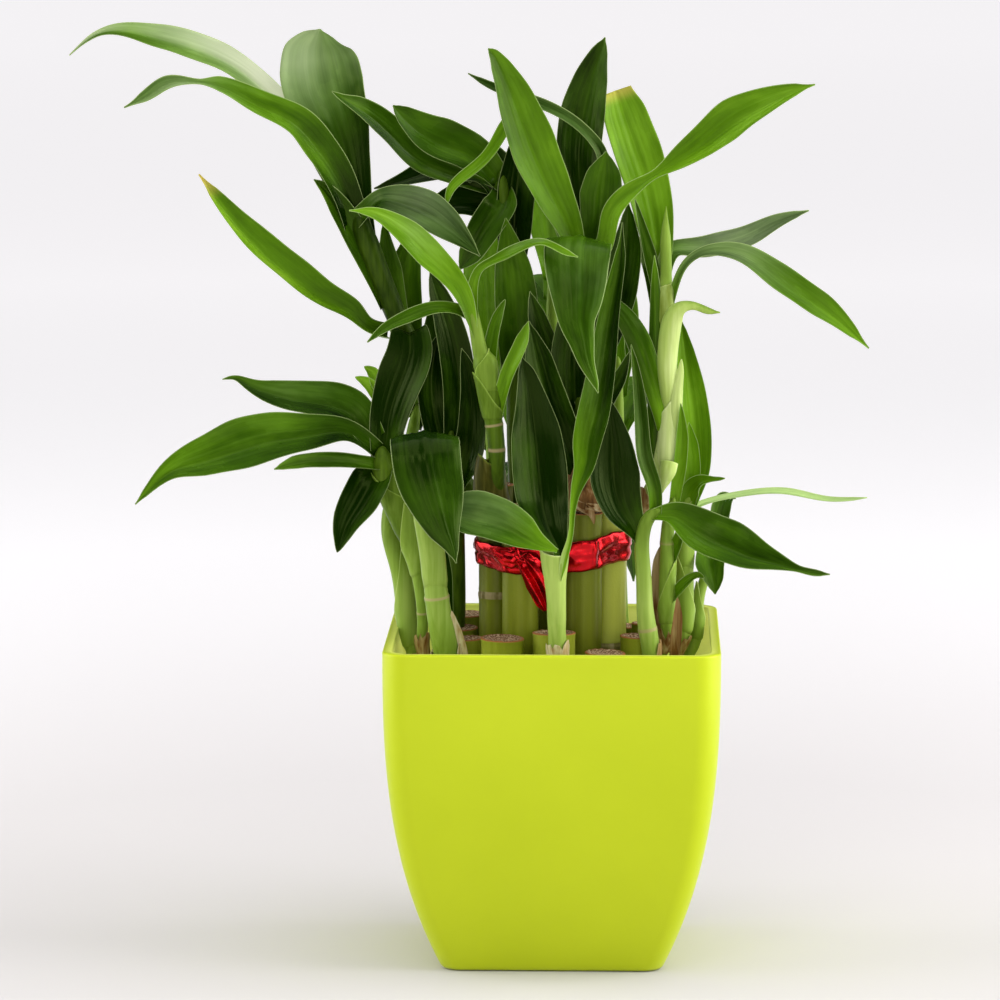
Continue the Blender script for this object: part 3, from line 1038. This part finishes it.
# The upper left shoot: a thick fan of sheaths with long leaves to the left, a broad one upright and a
# glossy one that bends over to the right.
grow_shoot("shoot_upper_left", stem_tone=(0.14, 0.1, 0.06, 0.04), stem=[
    [-22.5, 145, 0, 2.2], [-27, 152, 6, 3.1], [-31.5, 162, 10, 3.4], [-39, 180, 12, 3.6], [-46, 199, 8, 3.8],
    [-51.5, 211, 4, 3.8], [-57, 224, 1, 4], [-62, 237, 0, 4.2], [-66, 248, 0, 3.2],
], leaves=[
    dict(tone=(0.18, 0.26, 0.34), fold=0.6, lean=-0.05, stations=[
        [-54.5, 217, 0, 3], [-60, 230, -3, 4.2], [-65.5, 241, -4, 4.6], [-71, 250, -5, 3.8],
        [-75.5, 256, -6, 2.2], [-79.7, 259.3, -7, 0.4],
    ]),
    dict(tone=(-0.12, 0.4, 0.52, 0.48, 0.42), keel=0.3, lean=-0.04,
         sheen=(0, 0.05, 0.12, 0.32, 0.25), stations=[
        [-63, 236, -1, 4.5], [-68, 252.7, -4, 4.5], [-73, 263.7, -6, 5.4], [-78.7, 272, -9, 5.5],
        [-84.7, 278.7, -12, 5], [-98, 285.3, -17, 4], [-111.3, 291.3, -22, 2.6], [-118, 292, -24, 0.6],
        [-128, 292, -28, 2.3], [-134.7, 288, -31, 2.2], [-143, 283.3, -34, 0.4],
    ]),
    dict(tone=(-0.1, 0.62, 0.72, 0.6, 0.5), fold=0.4, lean=0.12,
         sheen=(0, 0.35, 0.75, 0.42, 0.25, 0.4), stations=[
        [-63, 236, 3, 4], [-69, 252, 7, 3.8], [-75.7, 265, 11, 4], [-84, 278, 14, 4], [-93, 287, 18, 3.8],
        [-104.7, 297, 22, 4.2], [-121.3, 304.7, 27, 4.8], [-131.3, 307.3, 30, 4.1], [-141.3, 309.3, 33, 2.7],
        [-151.3, 308.3, 35, 1], [-161.3, 300.7, 37, 0.4],
    ]),
    dict(tone=(-0.15, 0.22, 0.56, 0.62), fold=0.35, keel=0.08, lean=-0.05,
         sheen=(0, 0.1, 0.4, 0.4), stations=[
        [-63, 236, 2, 4.4], [-66, 252, 3, 5.6], [-69, 268, 4, 8], [-72.5, 280, 5, 11], [-76, 289, 6, 13.6],
        [-78, 297, 7, 13.4], [-78.8, 303.5, 8, 11], [-78.2, 307.6, 9, 5], [-77.7, 309.5, 9.5, 0.5],
    ]),
    dict(tone=(0.34, 0.66, 0.72), fold=0.75, keel=0.5, lean=-0.14, dry_tip=1, stations=[
        [-53.5, 209, 3, 2.6], [-61.3, 211, -2, 2.4], [-66.3, 215.7, -5, 3.4], [-74.7, 220.7, -8, 4.3],
        [-84.7, 228, -12, 4.8], [-93, 234.7, -15, 4.7], [-101.3, 242, -18, 4], [-109.7, 251, -21, 2.6],
        [-118, 261, -24, 0.4],
    ]),
    dict(tone=(0.2, 0.22, 0.16), fold=0.3, keel=0.12, lean=-0.05, sheen=(0.1, 0.24, 0.12), stations=[
        [-66, 246, -4, 3], [-60, 252, -9, 3], [-57, 253.3, -11, 3.4], [-49.7, 252.3, -13, 5.5],
        [-42, 249.3, -14, 6.7], [-34.7, 244, -14, 5], [-29, 238.7, -13, 2.6], [-24.3, 233.7, -12, 0.4],
    ]),
], rings=(0.25,))

# The rear centre shoot: a folded leaf upright, dark leaves to the left and one that hangs with a dry tip.
grow_shoot("shoot_rear_centre", stem_tone=0.14, stem=[
    [-12, 139, 8, 2.4], [-12, 150, 3, 3], [-13, 170, 3, 3], [-13, 195, 5, 3], [-14, 220, 7, 2.9],
    [-16, 240, 9, 2.6], [-17, 256, 10, 2.2], [-17.5, 262, 11, 1.5],
], leaves=[
    dict(tone=(0.15, 0.34, 0.48), fold=0.35, stations=[
        [-13, 190, 3, 3.6], [-12, 205, 0, 6.6], [-12.3, 219, -1, 7.3], [-13.6, 231, -1, 6],
        [-15, 240, -1, 3], [-15.8, 246.5, -1, 0.4],
    ]),
    dict(tone=0.2, fold=0.35, stations=[
        [-17, 257, 9, 3], [-17.5, 252, 4, 5.6], [-23, 243, 0, 5.5], [-28, 234, -4, 3.8],
        [-31.3, 229.3, -6, 0.5],
    ]),
    dict(tone=0.04, fold=0.35, sheen=(0, 0.15, 0.1), stations=[
        [-16.8, 254, 10.5, 3.4], [-22, 264, 16.5, 8.2], [-31, 265.5, 19, 6.8], [-40, 263.5, 19, 4.5],
        [-50, 259.5, 17, 2.2], [-59.7, 256.3, 15, 0.4],
    ]),
    dict(tone=-0.02, fold=0.4, stations=[
        [-15, 240, 8, 3], [-20, 250, 10, 5.5], [-28, 253, 9, 6], [-37, 251, 7, 4], [-44, 247, 5, 0.4],
    ]),
    dict(tone=0.02, fold=0.4, stations=[
        [-13.5, 226, 5, 3.5], [-13, 243, 7, 6], [-12, 258, 8, 6.4], [-10.5, 270, 8, 4.4],
        [-9.5, 278, 8, 0.4],
    ]),
    dict(tone=0.28, stations=[
        [-17, 259, 10, 3.2], [-26, 268, 7, 6.4], [-36, 272.5, 4, 7], [-44, 276.5, 2, 5.6], [-50, 281, 0, 3],
        [-53.3, 284, -1, 0.4],
    ]),
    dict(tone=0.3, sheen=(0, 0.1), stations=[
        [-17, 256, 12, 2.8], [-34, 262, 13.5, 4], [-43, 266, 12.5, 4.5], [-51, 273, 8, 4.7],
        [-58, 279.7, 2, 4.4], [-64.7, 284, -2.5, 3], [-70, 286.5, -5, 1.2], [-73.7, 288.7, -6, 0.4],
    ]),
])

# The centre shoot: a rosette of tall leaves, one of which folds down in front, and a long one to the right.
grow_shoot("shoot_centre", stem_tone=0.16, stem=[
    [9.5, 140, -9, 2.4], [8.5, 148, -5, 3.1], [8.5, 158, -4, 3.3], [9, 172, -5, 3.3], [9, 190, -6, 3.1],
    [8.5, 212, -6, 3], [9, 228, -5, 2.8], [9.5, 238, -5, 2.2],
], leaves=[
    dict(tone=(0.36, 0.54, 0.4, 0.36), fold=0.45, keel=0.25, lean=0.06, stations=[
        [8, 230, -7, 3], [7, 238.7, -8, 3.4], [0.5, 254.5, -11, 6.5], [-6.5, 270.5, -13, 8],
        [-12.3, 286, -13, 6.2], [-17.5, 297.5, -12, 3.2], [-20, 301.5, -11.5, 1.6], [-21.7, 303, -11, 0.4],
    ]),
    dict(tone=(0.06, 0.16, 0.26), fold=0.45, keel=0.3, lean=0.04, stations=[
        [9.3, 228, -5, 2.6], [9, 239, -2, 4], [9, 252, 2, 6], [8.5, 268, 4, 7.5], [10, 282, 5, 7.6],
        [12.7, 293.5, 5, 5.6], [15.5, 302, 4, 2.8], [17.3, 306.7, 4, 0.4],
    ]),
    dict(tone=0.2, fold=0.6, sheen=0.15, stations=[
        [11, 236, 0, 2.4], [15, 256, 2, 2.4], [16.5, 267, 1, 1.9], [12, 274.3, -1, 1.7], [5.3, 280, -2, 1.8],
        [-4.7, 285, -5, 1.8], [-19.7, 290.3, -8, 1.4], [-28.3, 294.7, -10, 0.4],
    ]),
    dict(tone=(0.2, 0.36, 0.36), fold=0.35, keel=0.2, stations=[
        [12, 234, -5, 3.4], [15, 246, -6, 6], [16, 254, -6.5, 7.3], [17, 262, -6, 5.6],
        [17.7, 268.7, -5, 0.5],
    ]),
    dict(tone=(0.2, 0.22, 0.2, 0.16, 0.2, 0.36), fold=0.25, keel=0.03, lean=0.03,
         sheen=(0, 0.05, 0.16, 0.1, 0.04, 0), stations=[
        [8.8, 225, -6, 3.2], [9, 234, -14, 7.2], [8.8, 238.3, -23, 10.6], [8, 234.5, -31, 11],
        [8, 225.3, -35.5, 9.7], [8, 218.7, -38, 8.2], [8, 212, -40, 6], [9.5, 205.3, -42, 4.2],
        [11, 198.7, -44, 2.8], [13.7, 192, -45, 1.3], [15, 188, -46, 0.4],
    ]),
    dict(tone=(0.7, 0.66, 0.6, 0.64), fold=0.4, keel=0.35, lean=0.06,
         sheen=(0.05, 0.05, 0.1, 0.12), stations=[
        [12, 230, -7, 3], [17.3, 238.7, -10, 3], [19.3, 248, -12, 3.2], [25.3, 255.3, -14, 2.8],
        [33.7, 261, -17, 1.2], [42, 266.7, -20, 3.6], [50.3, 272.7, -23, 5.6], [58.7, 279.3, -26, 6.4],
        [68.7, 284.7, -29, 5], [78.7, 288.7, -32, 2.4], [87.3, 291, -34, 0.4],
    ]),
    dict(tone=0.1, stations=[
        [9, 156, -5, 3], [5, 171, -12, 5.3], [-1, 186, -16, 6], [-5, 200, -17, 4.6], [-8, 212, -17, 0.4],
    ]),
    dict(tone=0.12, stations=[
        [9, 164, -5, 3], [4, 182, -9, 4], [-1, 200, -11, 4.6], [-5.5, 214, -12, 3], [-7.7, 222, -12, 0.4],
    ]),
    dict(tone=0.12, stations=[
        [9, 170, -5, 3], [6, 187, -11, 5.6], [5.5, 203, -14, 6], [7, 218, -14, 4], [8, 230, -12, 0.6],
    ]),
    dict(tone=0.14, stations=[
        [10, 168, -6, 2], [17, 184, -13, 2.8], [22, 193, -16, 2.4], [25.5, 202, -17, 0.4],
    ]),
    dict(tone=0.6, fold=0.6, stations=[
        [9, 226, -6, 2.2], [-2, 256, 1, 3], [-10, 272, 4, 3], [-14, 278.5, 4, 2.2], [-19.7, 270.7, 1, 1.9],
        [-28, 262, -4, 1.9], [-34, 256.3, -7, 1.5], [-35.7, 249.7, -8, 0.4],
    ]),
    dict(tone=0.16, stations=[
        [10, 190, -5, 2.6], [17, 206, -3, 5], [22, 222, -2, 6], [24.5, 237, -2.5, 5], [25, 252, -3, 0.5],
    ]),
    dict(tone=0.3, fold=0.7, husk=1, stations=[
        [7, 152, -21.6, 1.2], [10, 150, -22, 1.5], [12.6, 148.2, -21.8, 1.3], [13.6, 144.4, -21.6, 0.3],
    ]),
    dict(tone=0.34, fold=0.7, husk=1, stations=[
        [11, 150.6, -21.8, 0.9], [14.6, 150, -21, 1.3], [18, 150.2, -18, 1.1], [20.5, 151.4, -15, 0.3],
    ]),
], sleeves=[
    dict(start=0.04, end=1, facing=0.7, cut=5, tone=0.02, flare=0.4, ragged=6, dry=1, route=[
        [10.1, 149, -14, 7], [10, 152, -13.8, 6.9], [9.7, 156, -12, 6.2], [9.2, 164, -7, 4.6],
    ]),
    dict(start=0.04, end=1, facing=-0.6, cut=5, tone=0.02, flare=0.5, ragged=5, dry=1, route=[
        [18.2, 149, -3, 6.9], [18, 154, -3.2, 6.6], [15.5, 162, -5, 4.6],
    ]),
])

# The tall pale shoot at the right, with a spike at its top, long arching leaves and one cut leaf upright
grow_shoot("shoot_pale",
           stem_tone=(0.5, 0.62, 0.78, 0.85, 0.86, 0.78, 0.46, 0.52, 0.48, 0.5, 0.42), stem=[
    [24, 146.5, -5, 2.3], [30, 151.5, -8, 3.1], [34.5, 158, -9, 3.7], [36.7, 167, -8, 4.2],
    [38, 180, -7, 4], [37.6, 195, -6, 3.7], [37, 210, -5, 3.5], [36.9, 220, -4, 3.1], [37.3, 227, -3, 2.2],
    [37.2, 238.5, -2.5, 2.2], [37.4, 250, -2, 0.5],
], leaves=[
    dict(tone=0.82, fold=-0.9, keel=0, husk=0, stations=[
        [40.2, 172, -11.5, 1.5], [40.8, 182, -11.9, 2.1], [41.6, 190, -11.8, 1.7], [42.4, 195, -11.5, 1.2],
        [42.8, 199.4, -11.2, 0.4],
    ]),
    dict(tone=(0.76, 0.76, 0.76, 0.74, 0.66, 0.54, 0.46), fold=-1.1, keel=0, lean=0.08, husk=0, stations=[
        [38.4, 182, -10, 1.5], [38.1, 190, -10.8, 2.7], [38, 198.2, -11.4, 3.3], [38.8, 207.7, -12, 3.5],
        [39.9, 212.8, -12.4, 3.3], [41.9, 216, -12.8, 2.4], [44.6, 217.2, -13, 1.6], [47.8, 217, -13.1, 1.2],
        [51.2, 215.7, -13.2, 1.25], [55.7, 215, -13.2, 0.4],
    ]),
    dict(tone=(0.8, 0.82, 0.86), fold=-0.5, keel=0, lean=-0.04, husk=0, stations=[
        [38.7, 165, -15.8, 3], [38, 161.8, -16.9, 2.9], [37, 158.4, -17.2, 1.8], [36.2, 155.2, -16.8, 0.4],
    ]),
    dict(tone=(0.5, 0.4, 0.48, 0.6), fold=0.4, keel=0.2, sheen=(0.1, 0.25, 0.3, 0.1, 0), stations=[
        [38, 217, -5, 2], [40.3, 223, -6, 1.3], [43.2, 230, -8, 1.2], [49, 235, -10, 1.5],
        [58.7, 236, -13, 2.6], [67, 233, -16, 3.6], [77, 226, -20, 4.4], [88.7, 218, -24, 4.3],
        [97, 211.3, -27, 2.7], [105.3, 203, -29, 0.4],
    ]),
    dict(tone=0.3, fold=0.35, sheen=(0.05, 0.34, 0.24), stations=[
        [36.3, 224, -2.6, 2.4], [40, 236, 4, 3], [48, 236.7, 9, 3.6], [57, 238.3, 13, 4],
        [66, 241.3, 17, 3.6], [75, 245.7, 21, 2.4], [85.3, 249, 24, 0.4],
    ]),
    dict(tone=(0.55, 0.62, 0.66, 0.74), fold=0.4, dry_tip=0.7, stations=[
        [36, 222, 0, 3], [35, 236, 4, 5], [33.7, 247, 6, 6.5], [31.3, 258.7, 8, 7.5], [27.7, 270.3, 9, 8],
        [23.7, 282, 9, 7.2], [21.3, 289, 9, 4.5],
    ]),
    dict(tone=(0.62, 0.46, 0.34, 0.26, 0.2), fold=-0.5, keel=0, lean=0.05,
         sheen=(0, 0.1, 0.08, 0), stations=[
        [37, 176, -10, 2.2], [34.6, 187, -10, 3.3], [31.6, 197, -9.8, 4], [28.2, 206, -9.2, 4.1],
        [23.8, 213.5, -8.6, 3.5], [19, 219, -8, 1.9], [15.5, 222, -7.5, 0.4],
    ]),
    dict(tone=(0.24, 0.2, 0.22, 0.34, 0.56), fold=-0.8, keel=0, lean=-0.06, stations=[
        [34, 158, -9, 2], [34, 170, -9, 2.8], [34.4, 184, -8, 3], [34.6, 199, -7.4, 2.9],
        [34.5, 211, -7, 2.5], [34.1, 224, -6.4, 1.6], [33.8, 234, -5.6, 0.4],
    ]),
    dict(tone=0.34, fold=0.6, sheen=0.1, stations=[
        [36, 219, -2, 2.4], [32, 235.3, -1, 2.2], [27.3, 252.7, 0, 0.4],
    ]),
    dict(tone=0.3, fold=0.6, stations=[
        [35, 216, -1, 2.4], [30.3, 234, 2, 1.6], [24.7, 246, 3, 0.4],
    ]),
], rings=(0.72,), sleeves=[
    dict(start=0, end=0.98, facing=1.2, cut=9, tone=0.94, flare=0.1, ragged=0.5, route=[
        [37.4, 160, -9.5, 3.2], [38, 168, -9.8, 3.7], [38.7, 178, -9, 3.7], [39.6, 190, -8.2, 3.2],
    ]),
    dict(start=0.6, end=0.765, facing=1.3, cut=4.2, tone=0.44, flare=0.25, ragged=0.6, dry=0.15),
    dict(start=0.04, end=0.16, facing=-0.4, cut=4, tone=0.3, flare=0.6, ragged=4, dry=1),
])

# The front right shoot: a broad leaf to the right, a dark one up to the left and a narrow folded one.
grow_shoot("shoot_right_front",
           stem_tone=(0.46, 0.56, 0.66, 0.68, 0.6, 0.54, 0.42, 0.38, 0.34), stem=[
    [30.5, 91, -18, 2.2], [32.4, 99.7, -22.5, 3.4], [31, 110, -24, 3.4], [30.2, 118, -24.6, 3],
    [29.9, 126, -25, 2.85], [29.3, 134, -25, 2.8], [29.7, 141, -25, 2.65], [31.9, 146.4, -25, 2.5],
    [35.6, 149, -25.5, 1.8],
], leaves=[
    dict(tone=(0.4, 0.32, 0.28), fold=0.4, keel=0.3, lean=0.05, stations=[
        [32.5, 147.5, -27.5, 1.4], [40, 148.2, -29, 3.8], [48.7, 143.3, -32, 7], [57, 139.3, -36, 7.8],
        [65.3, 135.3, -40, 5.9], [73.7, 132.3, -43, 3.3], [81.3, 129.7, -46, 1], [87, 128.3, -48, 1.2],
        [92.3, 127.7, -49, 0.4],
    ]),
    dict(tone=(0.25, -0.02, -0.04), fold=0.45, keel=0.35, lean=0.05, stations=[
        [29.8, 137.5, -25, 1.4], [27.8, 142.5, -26.8, 3.2], [23.7, 149.7, -27.5, 6.5],
        [20.7, 160, -27.5, 8.6], [20, 171, -27, 6.5], [19.3, 180.7, -26.5, 3], [19, 186, -26, 0.4],
    ]),
    dict(tone=(0.32, 0.26, 0.26), fold=0.8, keel=0.2, lean=-0.05, sheen=(0.05, 0.16, 0.14, 0.02), stations=[
        [34, 147, -26, 2], [33.7, 157, -27, 2.4], [31, 165.3, -28, 2.6], [29.7, 175.3, -28, 2.4],
        [29, 185.3, -27, 2.1], [27.7, 195.3, -26, 1.4], [26, 204.3, -25, 0.4],
    ]),
], rings=(0.24,), sleeves=[
    dict(start=0.08, end=0.2, facing=1.8, cut=4, tone=0.25, flare=0.4, ragged=4, dry=1),
])

# A slim shoot at the right, its leaves upright behind the broad leaf
grow_shoot("shoot_right_slim", stem_tone=(0.5, 0.48, 0.4), stem=[
    [35, 97, -6, 1.8], [37.5, 108, -10, 2.4], [37.5, 119, -12, 2.9], [37.7, 131, -13, 2.9],
    [38.2, 145, -14, 2.4], [40, 153, -14, 1.6],
], leaves=[
    dict(tone=0.66, fold=0.6, stations=[
        [40.2, 150, -13.6, 1.7], [42.1, 163, -14, 2.3], [43, 174, -14, 2.1], [42.5, 184.7, -13.4, 0.4],
    ]),
    dict(tone=0.5, fold=0.6, stations=[
        [37.7, 118, -12, 1.6], [42.7, 124, -16, 1.8], [48, 127.5, -19, 1.2], [50.3, 126.5, -21, 0.4],
    ]),
    dict(tone=0.5, fold=0.6, stations=[
        [37.9, 128, -13, 1.6], [40.5, 137, -16, 2.2], [42.7, 142, -18, 1.4], [43.5, 144, -19, 0.4],
    ]),
    dict(tone=0.22, fold=0.6, husk=1, stations=[
        [34.9, 108, -7, 1], [34.7, 117, -9, 1.3], [34.6, 125, -10, 1.9], [35.2, 132, -10, 1.9],
        [36.3, 138, -10, 0.4],
    ]),
    dict(tone=0.16, fold=0.6, husk=1, stations=[
        [40.5, 98, -14, 1.4], [41, 107, -15.5, 1.9], [41.6, 114, -15.5, 1.5], [41.4, 120, -15, 0.4],
    ]),
], rings=(0.4, 0.7), sleeves=[
    dict(start=0.25, end=0.62, facing=1.3, cut=16, tone=0.5, flare=0.2),
    dict(start=0.08, end=0.24, facing=-0.5, cut=4, tone=0.2, flare=0.4, ragged=4, dry=1),
])

# The right shoot: a tall bright leaf behind the pale stem, smaller ones in front of it and a long thin one
grow_shoot("shoot_right", stem_tone=0.55, stem=[
    [38, 95, 2, 1.8], [43, 108, 0, 3], [43.5, 122, 0, 3.5], [43.6, 139.3, 0, 3.2], [44.5, 151, 0, 2],
    [46, 156, 1, 1.6],
], leaves=[
    dict(tone=(0.66, 0.72, 0.66, 0.54), fold=0.45, keel=0.25, lean=-0.05, stations=[
        [45, 150, 1, 2.2], [47.5, 162, 3, 4.8], [47.5, 176, 4, 5.3], [46, 190, 5, 4.7], [44, 203, 6, 2.8],
        [42.7, 212.5, 6, 0.4],
    ]),
    dict(tone=0.68, fold=0.6, stations=[
        [45, 151, -1, 2], [46.5, 162, -3, 2.7], [46, 171, -4, 2.5], [45.3, 178.3, -4, 0.4],
    ]),
    dict(tone=0.5, fold=0.6, stations=[
        [44.5, 149, -2, 2.4], [46, 156, -5, 3.2], [49, 159, -7, 2], [53, 159.5, -8, 0.9],
        [57.3, 159.7, -9, 0.4],
    ]),
    dict(tone=0.8, fold=0.6, sheen=0.45, stations=[
        [44.2, 149, 0, 1.3], [51, 152, 6, 1], [63.3, 154.7, 12, 1], [78, 155.5, 18, 1.2], [91, 153, 24, 1],
        [104.7, 153.3, 29, 0.4],
    ]),
], rings=(0.3, 0.65), sleeves=[
    dict(start=0.2, end=0.55, facing=-1.2, cut=16, tone=0.54, flare=0.2),
    dict(start=0.48, end=0.86, facing=1.3, cut=15, tone=0.5, flare=0.2),
    dict(start=0.08, end=0.2, facing=0.6, cut=3, tone=0.22, flare=0.4, ragged=4, dry=1),
])

# A short shoot at the right edge of the pot, with a leaf that hangs to its left
grow_shoot("shoot_right_edge", stem_tone=(0.62, 0.56, 0.48), stem=[
    [40, 94, 12, 1.8], [46.6, 104, 10, 2.4], [47.8, 111, 9, 2.2], [48.6, 120, 8, 2], [51, 129, 7, 1.9],
    [52, 136, 6, 1.4],
], leaves=[
    dict(tone=0.3, fold=0.35, stations=[
        [52.4, 135, 5, 2], [52, 135.5, 0, 4], [52.3, 131.5, -4, 5], [53.5, 126, -6, 3.4], [54, 121, -7, 0.5],
    ]),
    dict(tone=0.3, stations=[
        [52, 130, 8, 1.8], [55, 142, 14, 3], [56, 150, 19, 3.4], [58, 154, 25, 2.6], [61, 153, 31, 0.4],
    ]),
], rings=(0.4,), sleeves=[
    dict(start=0.25, end=0.7, facing=-1.2, cut=12, tone=0.52, flare=0.4),
])

# The shoots on the back canes follow one rule: from a curved stem, each leaf leaves at the next step of the
# golden angle within the back half, rises, and droops by its own weight. Each row holds the stem in (x, y,
# z, half width), the number of leaves, their reach, the middle and the width of their swing, and its start.
GOLDEN_ANGLE = 2.39996
BACK_WIDTHS = np.array([0.35, 0.75, 1, 0.95, 0.6, 0.05])
BACK_HALF_WIDTH = 8
BACK_SHOOTS = {
    "shoot_back_left": ([
        [-19.5, 33, 92, 2.2], [-20, 39, 104, 3], [-20, 41.5, 125, 3], [-21, 42, 150, 2.8],
        [-22, 40, 172, 2.4], [-22, 39, 188, 1.6],
    ], 5, 66, 84, 26, 0.2),
    "shoot_back_middle": ([
        [-5, 36.5, 94, 2.2], [-4, 42, 106, 3], [-2, 45, 118, 3], [-1, 46, 132, 2.6], [-1, 46, 146, 1.6],
    ], 4, 54, 90, 40, 0.72),
    "shoot_back_right": ([
        [24, 29.5, 90, 2.2], [22.5, 35, 103, 3], [21.5, 40, 125, 3], [21, 42, 150, 2.8], [21, 40, 178, 2.4],
        [21, 39, 196, 1.6],
    ], 5, 66, 98, 26, 0.24),
    "shoot_back_tall": ([
        [5.5, 21, 146, 2.2], [4, 26, 154, 3], [2, 27, 175, 3], [0, 26, 198, 2.8], [-1, 25, 214, 2.4],
        [-1, 24, 226, 1.6],
    ], 5, 56, 92, 26, 0.08),
}
run = np.linspace(0, 1, len(BACK_WIDTHS))
for node, (stem, leaf_count, reach, middle, swing_width, start) in BACK_SHOOTS.items():
    leaves = []
    for k in range(leaf_count):
        share = k / (leaf_count - 1)
        root = bent_line(np.array(stem, float)[:, :3], [0.5 + 0.47 * share])[0][0]
        swing = ((k * GOLDEN_ANGLE) / (2 * np.pi) + start) % 1
        heading = np.radians(middle + swing_width * (2 * swing - 1))
        length = reach * (1 - 0.22 * share)
        rise = 0.5 + 0.95 * share + 0.15 * np.sin(5 * k + start)
        droop = 0.95 - 0.5 * share
        out = length * run * (1 - 0.15 * run)
        up = length * (rise * run - droop * run * run)
        places = root + np.stack([out * np.cos(heading), out * np.sin(heading), up], axis=1)
        stations = np.column_stack([places, np.maximum(BACK_HALF_WIDTH * BACK_WIDTHS, 0.4)])
        leaves.append(dict(tone=0.20 + 0.30 * share, fold=0.4, stations=stations))
    grow_shoot(node, 0.4, stem, leaves, rings=(0.2, 0.42), in_picture=False)
